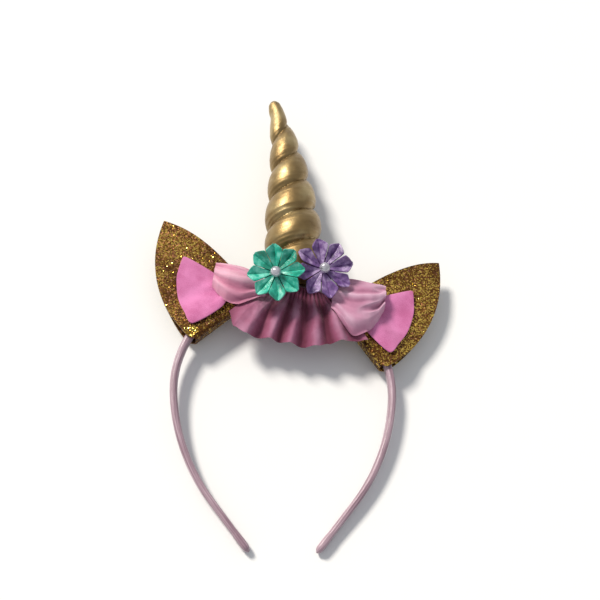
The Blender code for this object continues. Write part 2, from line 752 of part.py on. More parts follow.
def lay_on_back(root):
    """Turns the whole about its centre of mass so that it rests on its back, and sets it on Z = 0."""
    bpy.context.view_layer.update()
    graph = bpy.context.evaluated_depsgraph_get()
    mass, moment, points = 0.0, Vector(), []
    for obj in parts.objects:
        if obj.type != "MESH":
            continue
        density = PLASTIC_DENSITY if obj.name == "headband" else CLOTH_DENSITY
        one_mass, one_moment, one_points = solid_moment(obj, graph, density)
        mass += one_mass
        moment += one_moment
        points += one_points
    centre = moment / mass
    bm = bmesh.new()
    for p in points:
        bm.verts.new(p)
    bmesh.ops.convex_hull(bm, input=bm.verts[:])
    bmesh.ops.triangulate(bm, faces=bm.faces[:])
    bm.normal_update()
    down = min((f for f in bm.faces if is_under(f, centre)), key=lambda f: f.normal.z).normal.copy()
    bm.free()
    turn = down.rotation_difference(Vector((0, 0, -1))).to_matrix().to_4x4()
    turned = [turn @ p for p in points]
    low = Vector([min(p[i] for p in turned) for i in range(3)])
    high = Vector([max(p[i] for p in turned) for i in range(3)])
    middle = Vector(((low.x + high.x) / 2, (low.y + high.y) / 2, low.z))
    root.matrix_world = Matrix.Translation(-middle) @ turn
    bpy.context.view_layer.update()


def is_under(face, centre):
    """Whether a triangle of the hull holds the foot of the line from the centre along its normal."""
    a, b, c = (v.co for v in face.verts)
    n = face.normal
    foot = centre + n * (a - centre).dot(n)
    turns = [(q - p).cross(foot - p).dot(n) for p, q in ((a, b), (b, c), (c, a))]
    return n.z < 0 and (min(turns) >= 0 or max(turns) <= 0)


clear_scene()
parts = new_collection("Unicorn_Headband")
cutters = new_collection("Cutters")
satin_pink = new_material("satin_pink", (0.68, 0.36, 0.46), 0.35)
gold_glitter = new_material("gold_glitter", (0.42, 0.24, 0.05), 0.45, 0.6)
pink_felt = new_material("pink_felt", (0.72, 0.24, 0.42), 0.9)
gold_foil = new_material("gold_foil", (0.56, 0.42, 0.18), 0.35, 0.8)
mint_satin = new_material("mint_satin", (0.05, 0.48, 0.34), 0.35)
lavender_satin = new_material("lavender_satin", (0.28, 0.15, 0.42), 0.35)
pearl_white = new_material("pearl_white", (0.78, 0.76, 0.78), 0.25)
pink_chiffon = new_material("pink_chiffon", (0.62, 0.22, 0.34), 0.7)

whole = bpy.data.objects.new("Whole", None)
parts.objects.link(whole)
decoration = bpy.data.objects.new("Decoration", None)
parts.objects.link(decoration)
decoration.parent = whole
decoration.rotation_euler.z = -math.radians(DECORATION_TURN)

build_headband(whole)
for ear_side in (1, -1):
    build_ear(ear_side, decoration)
    build_inner_ear(ear_side, decoration)
horn_mesh = build_horn(decoration).data
horn_points = [v.co for v in horn_mesh.vertices]
horn_surface = BVHTree.FromPolygons(horn_points, [f.vertices for f in horn_mesh.polygons])
for one_flower, ribbon_material in zip(FLOWERS, (mint_satin, lavender_satin)):
    build_flower(one_flower, horn_surface, decoration, ribbon_material)
build_frill(decoration)
frill_cloth = frill_samples()
for one_puff in PUFFS:
    build_puff(one_puff, frill_cloth, decoration)
lay_on_back(whole)
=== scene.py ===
import math
import random

import bmesh
import bpy
import numpy
from mathutils import Matrix, Vector, noise
from mathutils.bvhtree import BVHTree


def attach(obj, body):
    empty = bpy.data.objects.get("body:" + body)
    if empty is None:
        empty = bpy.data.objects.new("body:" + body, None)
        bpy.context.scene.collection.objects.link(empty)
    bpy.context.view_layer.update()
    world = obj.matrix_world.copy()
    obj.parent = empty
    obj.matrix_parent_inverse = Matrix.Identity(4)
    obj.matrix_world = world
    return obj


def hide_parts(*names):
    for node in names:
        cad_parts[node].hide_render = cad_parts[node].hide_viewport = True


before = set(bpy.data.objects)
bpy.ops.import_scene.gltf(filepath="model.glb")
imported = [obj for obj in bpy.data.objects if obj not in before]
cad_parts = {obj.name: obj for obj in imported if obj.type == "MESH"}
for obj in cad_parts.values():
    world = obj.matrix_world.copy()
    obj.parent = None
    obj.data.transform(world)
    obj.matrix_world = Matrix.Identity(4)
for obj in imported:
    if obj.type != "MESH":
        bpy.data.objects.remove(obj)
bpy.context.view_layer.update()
bpy.ops.object.select_all(action="DESELECT")


def rotated(degrees, axis):
    return Matrix.Rotation(math.radians(degrees), 4, axis)


# The headband is worked on standing up, with its crown's centre at the origin, and laid on its back
# when it is done. The horn and all that sits with it are turned a little to the left
layout = {"x": -0.00846, "y": -0.0524, "z": 0.00803, "backTurn": 3.6173, "decorTurn": -6.4}
laid = Matrix.Translation((layout["x"], layout["y"], layout["z"]))
laid = laid @ rotated(layout["backTurn"], "X")
decor = laid @ rotated(layout["decorTurn"], "Z")
gap = 0.0003    # between pieces that are glued together


# Small helpers

def smooth(share):
    share = min(1.0, max(0.0, share))
    return share * share * (3 - 2 * share)


# Reading of a short table, level at each of its rows if it is soft
def curveAt(rows, place, column=1, soft=True):
    for before, after in zip(rows, rows[1:]):
        if place <= after[0]:
            share = (place - before[0]) / (after[0] - before[0])
            return before[column] + (after[column] - before[column]) * (smooth(share) if soft else share)
    return rows[-1][column]


# A curve through four values in a row, read between the second and the third
def throughAt(a, b, c, d, t):
    bend = (2 * a - 5 * b + 4 * c - d) * t ** 2 + (3 * b - a - 3 * c + d) * t ** 3
    return 0.5 * (2 * b + (c - a) * t + bend)


# Reading of a short table that runs on evenly past its rows
def flowAt(rows, place, column):
    low = max(i for i in range(len(rows) - 1) if i == 0 or rows[i][0] <= place)
    values = [rows[min(len(rows) - 1, max(0, low + n))][column] for n in (-1, 0, 1, 2)]
    return throughAt(*values, (place - rows[low][0]) / (rows[low + 1][0] - rows[low][0]))


def waves(x, y, z):
    return noise.noise(Vector((x, y, z)))


def activate(obj):
    bpy.ops.object.select_all(action="DESELECT")
    obj.select_set(True)
    bpy.context.view_layer.objects.active = obj


def applyModifiers(obj):
    activate(obj)
    for modifier in list(obj.modifiers):
        bpy.ops.object.modifier_apply(modifier=modifier.name)


def addModifier(obj, kind, **settings):
    modifier = obj.modifiers.new(kind.title(), kind)
    for name, value in settings.items():
        setattr(modifier, name, value)
    return modifier


def addBevel(obj, width, segments, degrees):
    limits = {"limit_method": "ANGLE", "angle_limit": math.radians(degrees)}
    addModifier(obj, "BEVEL", width=width, segments=segments, **limits)


def finishPiece(obj, place, material, replaced=(), sharpAngle=50):
    applyModifiers(obj)
    obj.matrix_world = place
    bpy.ops.object.transform_apply(location=True, rotation=True, scale=True)
    bpy.ops.object.shade_smooth_by_angle(angle=math.radians(sharpAngle))
    obj.data.materials.clear()
    obj.data.materials.append(material)
    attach(obj, "root")
    if replaced:
        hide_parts(*replaced)
    bpy.ops.object.select_all(action="DESELECT")
    return obj


def startEdit():
    bpy.ops.object.mode_set(mode="EDIT")
    bpy.ops.mesh.select_all(action="SELECT")


def endEdit(outwards=False):
    if outwards:
        bpy.ops.mesh.select_all(action="SELECT")
        bpy.ops.mesh.normals_make_consistent(inside=False)
    bpy.ops.object.mode_set(mode="OBJECT")


def extrudeBy(step):
    bpy.ops.mesh.extrude_region_move(TRANSFORM_OT_translate={"value": step})


def closeEnd():
    bpy.ops.mesh.edge_face_add()
    bpy.ops.mesh.poke()


# A ring of points to be drawn out, around the z axis or the x axis
def ringPiece(name, count, sideways=False):
    turn = math.pi / 2 if sideways else 0
    bpy.ops.mesh.primitive_circle_add(vertices=count, radius=1, fill_type="NOTHING", rotation=(0, turn, 0))
    obj = bpy.context.object
    bpy.ops.object.transform_apply(rotation=True)
    obj.name = obj.data.name = name
    return obj


# A flat grid from 0 to 1 both ways, pulled into shape point by point
def gridPiece(name, columns, rows, shape):
    bpy.ops.mesh.primitive_grid_add(
        x_subdivisions=columns, y_subdivisions=rows, size=1, location=(0.5, 0.5, 0),
    )
    obj = bpy.context.object
    bpy.ops.object.transform_apply(location=True)
    obj.name = obj.data.name = name
    for vertex in obj.data.vertices:
        vertex.co = shape(vertex.co.x, vertex.co.y)
    return obj


# UV in metres from a point's place, read as (along, around, length of the way round)
def wrapUv(obj, read):
    mesh = obj.data
    layer = mesh.uv_layers.active or mesh.uv_layers.new(name="UVMap")
    places = [read(vertex.co) for vertex in mesh.vertices]
    for face in mesh.polygons:
        first = None
        for loop in face.loop_indices:
            along, around, period = places[mesh.loops[loop].vertex_index]
            if first is None:
                first = around
            around += round((first - around) / period) * period
            layer.data[loop].uv = (along, around)


# Finishes

def addNode(tree, kind, links=None, values=None, **settings):
    node = tree.nodes.new("ShaderNode" + kind)
    for name, value in settings.items():
        setattr(node, name, value)
    for name, value in (values or {}).items():
        node.inputs[name].default_value = value
    for name, socket in (links or {}).items():
        tree.links.new(socket, node.inputs[name])
    return node


# Base colour read from a factor, through stops of (place, colour)
def addTone(tree, shader, factor, stops):
    node = addNode(tree, "ValToRGB", {"Fac": factor})
    elements = node.color_ramp.elements
    while len(elements) < len(stops):
        elements.new(0.5)
    for element, (place, colour) in zip(elements, stops):
        element.position = place
        element.color = (*colour, 1.0)
    tree.links.new(node.outputs["Color"], shader.inputs["Base Color"])


def newFinish(name, colour, **sockets):
    material = bpy.data.materials.new(name)
    material.use_nodes = True
    material.diffuse_color = (*colour, 1.0)
    shader = material.node_tree.nodes["Principled BSDF"]
    shader.inputs["Base Color"].default_value = (*colour, 1.0)
    for socket, value in sockets.items():
        shader.inputs[socket.replace("_", " ")].default_value = value
    return material, material.node_tree, shader


# The UV map, whose unit is a metre, scaled by so much along and across
def addMapping(tree, along, across, turn=0.0):
    uv = addNode(tree, "TexCoord").outputs["UV"]
    placed = {"Scale": (along, across, 1), "Rotation": (0, 0, math.radians(turn))}
    return addNode(tree, "Mapping", {"Vector": uv}, placed).outputs[0]


# Threads that run over and under each other
def addWeave(tree, pitch, turn=0.0):
    mapped = addMapping(tree, 1 / pitch, 1 / pitch, turn)
    thread = {"Scale": 0.5, "Distortion": 0.4}
    warp = addNode(tree, "TexWave", {"Vector": mapped}, thread, bands_direction="X")
    weft = addNode(tree, "TexWave", {"Vector": mapped}, thread, bands_direction="Y")
    both = addNode(tree, "Math", {0: warp.outputs["Fac"], 1: weft.outputs["Fac"]}, operation="MULTIPLY")
    return both.outputs[0]


def addMean(tree, one, other):
    both = addNode(tree, "Math", {0: one, 1: other}, operation="ADD")
    return addNode(tree, "Math", {0: both.outputs[0]}, {1: 0.5}, operation="MULTIPLY").outputs[0]


def addNoise(tree, scale, detail=3.0, roughness=0.55):
    where = addNode(tree, "TexCoord").outputs["Object"]
    grain = {"Scale": scale, "Detail": detail, "Roughness": roughness}
    return addNode(tree, "TexNoise", {"Vector": where}, grain).outputs["Fac"]


# Bumps stacked on each other, each (height, depth in metres, strength)
def addBump(tree, shader, layers):
    normal = None
    for height, depth, strength in layers:
        bump = addNode(tree, "Bump", {"Height": height}, {"Distance": depth, "Strength": strength})
        if normal:
            tree.links.new(normal, bump.inputs["Normal"])
        normal = bump.outputs["Normal"]
    tree.links.new(normal, shader.inputs["Normal"])


def makeFoil():
    look = {"Metallic": 0.85, "Roughness": 0.40, "Coat_Weight": 0.3, "Coat_Roughness": 0.38}
    material, tree, shader = newFinish("goldFoil", (0.31, 0.21, 0.085), **look)
    crinkle = addNoise(tree, 380, 4)
    mottle = addNoise(tree, 70, 2)
    addTone(tree, shader, mottle, [
        (0.30, (0.21, 0.13, 0.045)), (0.52, (0.31, 0.21, 0.085)), (0.72, (0.46, 0.35, 0.17)),
    ])
    span = {"From Min": 0.3, "From Max": 0.7, "To Min": 0.34, "To Max": 0.48}
    rough = addNode(tree, "MapRange", {"Value": crinkle}, span)
    tree.links.new(rough.outputs[0], shader.inputs["Roughness"])
    addBump(tree, shader, [(addWeave(tree, 0.00045), 0.00005, 0.4), (crinkle, 0.0004, 0.30)])
    return material


def makeGlitter():
    material, tree, shader = newFinish("goldGlitter", (0.14, 0.07, 0.012), Metallic=0.7, Roughness=0.40)
    where = addNode(tree, "TexCoord").outputs["Object"]
    flakes = addNode(tree, "TexVoronoi", {"Vector": where}, {"Scale": 1500, "Randomness": 1.0})
    parts = addNode(tree, "SeparateColor", {"Color": flakes.outputs["Color"]})
    shades = addNoise(tree, 45, 2)
    addTone(tree, shader, addMean(tree, parts.outputs["Red"], shades), [
        (0.22, (0.040, 0.011, 0.002)), (0.48, (0.10, 0.034, 0.004)),
        (0.62, (0.21, 0.088, 0.009)), (0.74, (0.80, 0.55, 0.11)),
    ])
    # Each flake lies a little askew, by its own random colour
    level = (0.5, 0.5, 0.5)
    centred = addNode(tree, "VectorMath", {0: flakes.outputs["Color"]}, {1: level}, operation="SUBTRACT")
    tilted = addNode(tree, "VectorMath", {0: centred.outputs[0]}, {"Scale": 0.85}, operation="SCALE")
    plain = addNode(tree, "NewGeometry").outputs["Normal"]
    summed = addNode(tree, "VectorMath", {0: plain, 1: tilted.outputs[0]}, operation="ADD")
    unit = addNode(tree, "VectorMath", {0: summed.outputs[0]}, operation="NORMALIZE")
    tree.links.new(unit.outputs[0], shader.inputs["Normal"])
    return material


def makeFlake():
    material, tree, shader = newFinish("glitterFlake", (0.62, 0.38, 0.06), Metallic=1.0, Roughness=0.25)
    addTone(tree, shader, addNoise(tree, 900, 0), [
        (0.3, (0.32, 0.16, 0.02)), (0.5, (0.62, 0.38, 0.06)), (0.7, (0.90, 0.72, 0.20)),
    ])
    return material


def makeFelt(name, dark, light):
    look = {"Roughness": 0.92, "Sheen_Weight": 0.15, "Sheen_Roughness": 0.6, "Specular_IOR_Level": 0.15}
    material, tree, shader = newFinish(name, light, **look)
    fibres = addNoise(tree, 2600, 3, 0.7)
    mottle = addNoise(tree, 90, 2)
    addTone(tree, shader, addMean(tree, fibres, mottle), [(0.38, dark), (0.60, light)])
    addBump(tree, shader, [(fibres, 0.00025, 0.7), (mottle, 0.0004, 0.2)])
    return material


# Ribbon with painted sheen, whose streaks of painted highlight and painted shade run along it where
# lengthwise is set
def makeSatin(name, dark, middle, light, pitch=0.00028, lengthwise=False):
    look = {"Roughness": 0.30, "Specular_IOR_Level": 0.65, "Sheen_Weight": 0.12, "Sheen_Roughness": 0.35}
    material, tree, shader = newFinish(name, middle, Anisotropic=0.45, **look)
    if lengthwise:
        grain = {"Scale": 1.0, "Detail": 3.0, "Roughness": 0.6}
        mapped = addMapping(tree, 30, 1100)
        sheenStreaks = addNode(tree, "TexNoise", {"Vector": mapped}, grain).outputs["Fac"]
    else:
        sheenStreaks = addNoise(tree, 220, 3)
    # The dark stop is a painted shade colour and the light stop a painted highlight colour, mixed by the
    # streaks
    addTone(tree, shader, sheenStreaks, [(0.36, dark), (0.50, middle), (0.66, light)])
    addBump(tree, shader, [(addWeave(tree, pitch), 0.00004, 0.5), (sheenStreaks, 0.00025, 0.25)])
    return material


# Thin cloth, with painted shade in the depth of its folds and a painted highlight on their ridges, which the
# mesh's fold attribute holds
def makeChiffon(name, dark, middle, light):
    look = {"Roughness": 0.66, "Specular_IOR_Level": 0.3, "Sheen_Weight": 0.22, "Sheen_Roughness": 0.45}
    material, tree, shader = newFinish(name, middle, Alpha=0.88, **look)
    depth = addNode(tree, "Attribute", attribute_name="fold").outputs["Fac"]
    cloudy = addNoise(tree, 95, 3)
    span = {"From Min": 0.3, "From Max": 0.7, "To Min": -0.14, "To Max": 0.14}
    mixed = addNode(tree, "MapRange", {"Value": cloudy}, span)
    summed = addNode(tree, "Math", {0: depth, 1: mixed.outputs[0]}, operation="ADD")
    # Painted shade for low fold values, painted highlight for high ones, with random cloudiness
    addTone(tree, shader, summed.outputs[0], [(0.10, dark), (0.50, middle), (0.90, light)])
    addBump(tree, shader, [(addWeave(tree, 0.00042, 12), 0.00006, 0.5)])
    return material


def makePearl():
    look = {"Metallic": 0.45, "Roughness": 0.22, "Coat_Weight": 0.6, "Coat_Roughness": 0.08}
    material, tree, shader = newFinish("pearlWhite", (0.55, 0.53, 0.58), **look)
    addTone(tree, shader, addNoise(tree, 300, 2), [(0.35, (0.46, 0.44, 0.50)), (0.65, (0.66, 0.65, 0.70))])
    return material


goldFoil = makeFoil()
goldGlitter = makeGlitter()
glitterFlake = makeFlake()
pinkFelt = makeFelt("pinkFelt", (0.52, 0.13, 0.30), (0.74, 0.25, 0.50))
mintFelt = makeFelt("mintFelt", (0.010, 0.16, 0.10), (0.022, 0.30, 0.19))
lavenderFelt = makeFelt("lavenderFelt", (0.10, 0.035, 0.18), (0.17, 0.07, 0.28))
# Satin ribbons, each given as a painted shade colour, its own colour and a painted highlight colour
pinkSatin = makeSatin("pinkSatin", (0.20, 0.115, 0.15), (0.34, 0.22, 0.27), (0.52, 0.38, 0.44), 0.0004, True)
mintSatin = makeSatin("mintSatin", (0.006, 0.24, 0.16), (0.02, 0.42, 0.30), (0.17, 0.64, 0.51))
lavenderSatin = makeSatin("lavenderSatin", (0.09, 0.038, 0.16), (0.20, 0.10, 0.30), (0.50, 0.36, 0.60))
# One chiffon in three copies: the frill's is darker, partly for its layers over the band and partly as
# painted shade under the flowers; the left puff's is lighter as painted sunlight; the right puff's is a
# little darker as painted half shade
shadedFrillChiffon = makeChiffon("shadedFrillChiffon", (0.15, 0.022, 0.055), (0.33, 0.085, 0.17), (0.52, 0.24, 0.37))
sunlitLeftChiffon = makeChiffon("sunlitLeftChiffon", (0.50, 0.17, 0.28), (0.72, 0.30, 0.44), (0.82, 0.45, 0.58))
halfLitRightChiffon = makeChiffon("halfLitRightChiffon", (0.34, 0.11, 0.20), (0.58, 0.25, 0.39), (0.74, 0.44, 0.59))
pearlWhite = makePearl()
print("finishes ready")


# Headband, a springy strip covered with satin ribbon

band = {
    "crownRadius": 0.0593, "crownTurn": 95, "armRadius": 0.105, "armTurn": 34, "tail": 0.0303,
    "width": 0.0075, "thickness": 0.0048, "flatness": (0.62, 0.80), "tipShare": 0.74, "tipRound": 0.004,
    "corners": 44, "crownSteps": 78, "armSteps": 50, "tailSteps": 22,
    "endCap": [(0.86, 0.0), (0.72, -0.10), (0.60, -0.16)],    # share of the last ring, steps back
    "wrapLength": 0.011, "wrapEdge": (0.0006, 0.002), "wrapRise": 0.00022,
    "seamDepth": 0.00025, "seamWidth": 0.16, "puckers": 0.00010, "puckerScale": (420, 1.6),
    "ribbonReach": 0.0033,    # from the middle of the strip to its ribbon, on the UV map
}
crownEnd = math.radians(band["crownTurn"])
armEnd = crownEnd + math.radians(band["armTurn"])
crownLength = band["crownRadius"] * crownEnd
armLength = band["armRadius"] * math.radians(band["armTurn"])
halfBand = crownLength + armLength + band["tail"]
armShift = band["crownRadius"] - band["armRadius"]
armCentre = Vector((armShift * math.sin(crownEnd), armShift * math.cos(crownEnd), 0))


# How far down the right arm a point is, with the centreline there and the way out of the band
def alongBand(point):
    angle = math.atan2(point.x, point.y)
    if -0.5 < angle <= crownEnd:
        out = Vector((math.sin(angle), math.cos(angle), 0))
        return band["crownRadius"] * angle, out * band["crownRadius"], out
    fromArm = point - armCentre
    angle = math.atan2(fromArm.x, fromArm.y)
    within = angle if 0 < angle <= armEnd else armEnd
    out = Vector((math.sin(within), math.cos(within), 0))
    start = armCentre + out * band["armRadius"]
    if angle == within:
        return crownLength + band["armRadius"] * (angle - crownEnd), start, out
    along = Vector((math.cos(armEnd), -math.sin(armEnd), 0))
    reach = (point - start).dot(along)
    return crownLength + armLength + reach, start + along * reach, out


def flattened(value, power):
    return math.copysign(abs(value) ** power, value)


def buildHeadband():
    strip = ringPiece("headbandStrip", band["corners"], sideways=True)
    for vertex in strip.data.vertices:
        turn = math.atan2(vertex.co.y, vertex.co.z)
        across = flattened(math.cos(turn), band["flatness"][0]) * band["width"] / 2
        out = flattened(math.sin(turn), band["flatness"][1]) * band["thickness"] / 2
        vertex.co = (0, band["crownRadius"] + out, across)
    startEdit()
    bpy.ops.mesh.spin(steps=band["crownSteps"], angle=crownEnd, center=(0, 0, 0), axis=(0, 0, 1))
    bpy.ops.mesh.spin(steps=band["armSteps"], angle=armEnd - crownEnd, center=armCentre, axis=(0, 0, 1))
    step = Vector((math.cos(armEnd), -math.sin(armEnd), 0)) * band["tail"] / band["tailSteps"]
    for i in range(band["tailSteps"]):
        extrudeBy(step)
    tip = armCentre + Vector((math.sin(armEnd), math.cos(armEnd), 0)) * band["armRadius"]
    tip += step * band["tailSteps"]
    for share, back in band["endCap"]:
        extrudeBy(step * back)
        bpy.ops.transform.resize(value=(share, share, share), center_override=tip)
    closeEnd()
    endEdit()
    # Narrowed to its rounded tip, with a seam inside, puckers, and the ribbon's end wrapped over it
    for vertex in strip.data.vertices:
        distance, centre, out = alongBand(vertex.co)
        offset = vertex.co - centre
        share = 1 - (1 - band["tipShare"]) * smooth(distance / halfBand)
        left = halfBand - distance
        if left < band["tipRound"]:
            share *= math.sqrt(max(0.05, 1 - (1 - left / band["tipRound"]) ** 2))
        side = offset.dot(out)
        turn = math.atan2(side, offset.z)
        wrapStart, wrapEnd = band["wrapEdge"]
        along, around = band["puckerScale"]
        rise = -band["seamDepth"] * math.exp(-((turn + math.pi / 2) / band["seamWidth"]) ** 2)
        rise += band["wrapRise"] * smooth((band["wrapLength"] - left) / wrapStart) * smooth(left / wrapEnd)
        rise += band["puckers"] * waves(distance * along, turn * around, 3.1) * (0.4 + 0.6 * (side < 0))
        vertex.co = centre + offset * share + (out * math.sin(turn) + Vector((0, 0, math.cos(turn)))) * rise
    addModifier(strip, "MIRROR", use_axis=(True, False, False), merge_threshold=0.00002)
    applyModifiers(strip)
    startEdit()
    endEdit(outwards=True)

    def readBand(point):
        mirrored = Vector((abs(point.x), point.y, point.z))
        distance, centre, out = alongBand(mirrored)
        offset = mirrored - centre
        reach = band["ribbonReach"]
        turn = math.atan2(offset.dot(out), offset.z)
        return math.copysign(distance, point.x), turn * reach, math.tau * reach

    wrapUv(strip, readBand)
    return finishPiece(strip, laid, pinkSatin, replaced=["headband"])


buildHeadband()
print("headband wound in its ribbon")


# Horn, a stuffed cone of foil cloth bound in a spiral

horn = {
    "length": 0.129, "diameter": 0.0345, "forward": 0.004, "sideways": -0.0016,
    "lean": 9.5, "bend": 10.0, "bendStart": 0.35, "back": 2.0, "footCurve": 0.06, "tipPlain": 0.20,
    "pitch": 0.0200, "tipPitch": 1.10, "spiralStart": 0.78,
    "slant": 0.05, "tilt": 0.10,    # turns by which a groove sags in front, and is pulled up on the right
    "groove": 0.0042, "tipGroove": 0.42, "valley": (0.45, 2.6), "pucker": 0.0007, "crinkle": 0.00012,
    "twist": 40, "puckerScale": (2.4, 1.2, 9), "crinkleScale": (3.1, 3.1, 34), "creaseScale": (1.1, 2.3, 16),
    "sides": 40, "rings": 66, "cuts": 3, "clothReach": 0.012, "sampling": 0.02,
    "tipRound": (0.7, 0.5), "tipStep": 0.003,
    "outline": [(0.0, 0.60), (0.02, 0.80), (0.07, 0.93), (0.20, 1.0), (0.33, 0.95), (0.43, 0.86),
                (0.54, 0.75), (0.68, 0.59), (0.76, 0.50), (0.83, 0.405), (0.89, 0.315), (0.95, 0.262),
                (0.985, 0.20), (1.0, 0.09)],
}
hornFoot = band["crownRadius"] + band["thickness"] / 2 + gap


def hornHeading(share):
    bent = smooth((share - horn["bendStart"]) / (1 - horn["bendStart"]))
    lean = math.radians(horn["lean"] + horn["bend"] * bent)
    back = math.radians(horn["back"])
    turned = smooth(share / horn["footCurve"])
    return Vector((-math.sin(lean) * turned, math.cos(lean), -math.sin(back) * turned)).normalized()


# Centre, heading and two ways across, at even shares of the length
def traceHorn(steps=240):
    found = []
    place = Vector((horn["sideways"], hornFoot, horn["forward"]))
    for i in range(steps + 1):
        heading = hornHeading(i / steps)
        side = heading.cross(Vector((0, 0, 1))).normalized()
        found.append((place.copy(), heading, side, side.cross(heading)))
        place = place + hornHeading((i + 0.5) / steps) * horn["length"] / steps
    return found


hornTrace = traceHorn()


# Where a point lies between two grooves, from 0 at one to 1 at the next
def hornPhase(share, angle):
    slope = horn["pitch"] * (horn["tipPitch"] - 1)
    turns = horn["length"] / slope * math.log(1 + slope / horn["pitch"] * share)
    pulled = horn["slant"] * (math.sin(angle) - 1) - horn["tilt"] * math.cos(angle)
    return (horn["spiralStart"] + turns + angle / math.tau + pulled) % 1.0


def hornRadius(share, angle):
    reach = horn["sampling"]
    near = (max(0.0, share - reach * share), share, min(1.0, share + reach * (1 - share)))
    radius = horn["diameter"] / 2 * sum(curveAt(horn["outline"], place, soft=False) for place in near) / 3
    phase = hornPhase(share, angle)
    side = abs(2 * phase - 1)
    soft, power = horn["valley"]
    valley = soft * side ** power + (1 - soft) * (1 - math.sqrt(max(0.0, 1 - side ** 2)))
    fade = smooth(share / horn["footCurve"]) * smooth((1 - share) / horn["tipPlain"])
    thin = radius / (horn["diameter"] / 2)
    depth = horn["groove"] * (horn["tipGroove"] + (1 - horn["tipGroove"]) * thin)
    around = angle + share * horn["twist"]
    x, y, z = horn["puckerScale"]
    pulled = waves(around * x, phase * y, share * z) * horn["pucker"] * side ** 1.5 * thin
    x, y, z = horn["crinkleScale"]
    fine = waves(math.cos(angle) * x, math.sin(angle) * y, share * z) * horn["crinkle"]
    x, y, z = horn["creaseScale"]
    sharp = abs(waves(around * x, phase * y, 5 + share * z)) * horn["crinkle"]
    return radius - depth * valley * fade + (pulled + fine - sharp) * fade


def placeOnHorn(share, angle, inwards):
    within = min(1.0, max(0.0, share))
    spot = within * (len(hornTrace) - 1)
    low = min(len(hornTrace) - 2, int(spot))
    centre, heading, side, front = (a.lerp(b, spot - low) for a, b in zip(hornTrace[low], hornTrace[low + 1]))
    out = side * math.cos(angle) + front * math.sin(angle)
    past = heading * max(0.0, share - 1) * horn["length"]
    return centre + out * hornRadius(within, angle) * inwards + past


def buildHorn():
    cone = ringPiece("hornCover", horn["sides"])
    startEdit()
    for i in range(horn["rings"]):
        extrudeBy((0, 0, 1 / horn["rings"]))
    for inwards in horn["tipRound"]:
        extrudeBy((0, 0, horn["tipStep"]))
        bpy.ops.transform.resize(value=(inwards, inwards, 1), center_override=(0, 0, 1))
    closeEnd()
    bpy.ops.mesh.select_all(action="DESELECT")
    mesh = bmesh.from_edit_mesh(cone.data)
    for edge in mesh.edges:
        edge.select = edge.is_boundary
    mesh.select_flush(True)
    bmesh.update_edit_mesh(cone.data)
    bpy.ops.mesh.edge_face_add()
    for i in range(3):
        bpy.ops.mesh.inset(thickness=0.25)
    bpy.ops.mesh.poke()
    bpy.ops.mesh.select_all(action="SELECT")
    bpy.ops.mesh.subdivide(number_cuts=horn["cuts"])
    endEdit(outwards=True)
    edge = math.cos(math.pi / horn["sides"]) - 0.002    # all beyond it is on the rim
    for vertex in cone.data.vertices:
        inwards = math.hypot(vertex.co.x, vertex.co.y)
        inwards = 1.0 if inwards > edge else inwards / edge
        vertex.co = placeOnHorn(vertex.co.z, math.atan2(vertex.co.y, vertex.co.x), inwards)

    def readHorn(point):
        share = (point.y - hornFoot) / horn["length"]
        centre, heading, side, front = hornTrace[int(min(1.0, max(0.0, share)) * (len(hornTrace) - 1))]
        offset = point - centre
        reach = horn["clothReach"]
        turn = math.atan2(offset.dot(front), offset.dot(side))
        return share * horn["length"], turn * reach, math.tau * reach

    wrapUv(cone, readHorn)
    return finishPiece(cone, decor, goldFoil, replaced=["horn"], sharpAngle=70)


hornCover = buildHorn()
print("horn stuffed and bound")


# Ears, glitter foam folded round the band, and felt glued on their fronts

ear = {
    "sheet": 0.001, "upperAngle": 23.8, "lowerAngle": 72, "height": 0.0705, "tipShare": 0.77,
    "lowerBow": (-0.02, 0.68), "upperBow": (1.10, 0.70), "closeLength": 0.013, "corner": 0.0034,
    "foldShare": 0.10, "foldFlat": 0.55, "foldRadius": 0.0016, "wobble": 0.00035, "wobbleScale": 60,
    "columns": 44, "leafRows": 46, "sidesFrom": 0.035, "sidesTo": 0.998,
    "cornerRise": 0.07, "looseOver": 0.02,
    "flakes": 1100, "flakeSize": 0.00028, "flakeSizes": (0.55, 1.25), "flakeLean": 17,
    # The flake patch gives the rows and width of the crowd of flakes that is a painted glint
    "flakeRows": (0.12, 0.86), "glintPatch": (0.07, 0.15), "flakeClear": 0.00007,
}
felt = {
    "thickness": 0.0012, "shownShare": 0.85, "edge": 0.0003, "height": 0.044, "rings": 12,
    "lift": 0.0007, "liftScale": 75,
    "crease": 0.0016, "creases": 4.0, "creaseReach": 0.42, "pinch": (0.74, 0.27), "rounding": 0.75, "cuts": 8,
    "outline": [(0.135, 0.18), (0.165, 0.38), (0.235, 0.60), (0.39, 0.83), (0.585, 0.985), (0.65, 1.0),
                (0.72, 0.82), (0.81, 0.50), (0.74, 0.25), (0.55, 0.12)],
}
foldRadius = band["crownRadius"] - band["thickness"] / 2 - gap - ear["sheet"]
earHalfAngle = math.radians(ear["lowerAngle"] - ear["upperAngle"]) / 2
foldLength = 2 * foldRadius * math.sin(earHalfAngle)
earStraight = band["crownRadius"] + band["thickness"] / 2 - foldRadius * math.cos(earHalfAngle) + gap
earClosed = earStraight + ear["closeLength"]


def earPlace(side):
    middle = math.radians(ear["upperAngle"] + ear["lowerAngle"]) / 2
    lower = math.radians(ear["lowerAngle"])
    corner = Vector((math.sin(lower), math.cos(lower), 0)) * foldRadius
    turned = Matrix((
        (-math.cos(middle), math.sin(middle), 0, corner.x),
        (math.sin(middle), math.cos(middle), 0, corner.y),
        (0, 0, -1, 0),
        (0, 0, 0, 1),
    ))
    return decor @ (turned if side > 0 else Matrix.Rotation(math.pi, 4, "Y") @ turned)


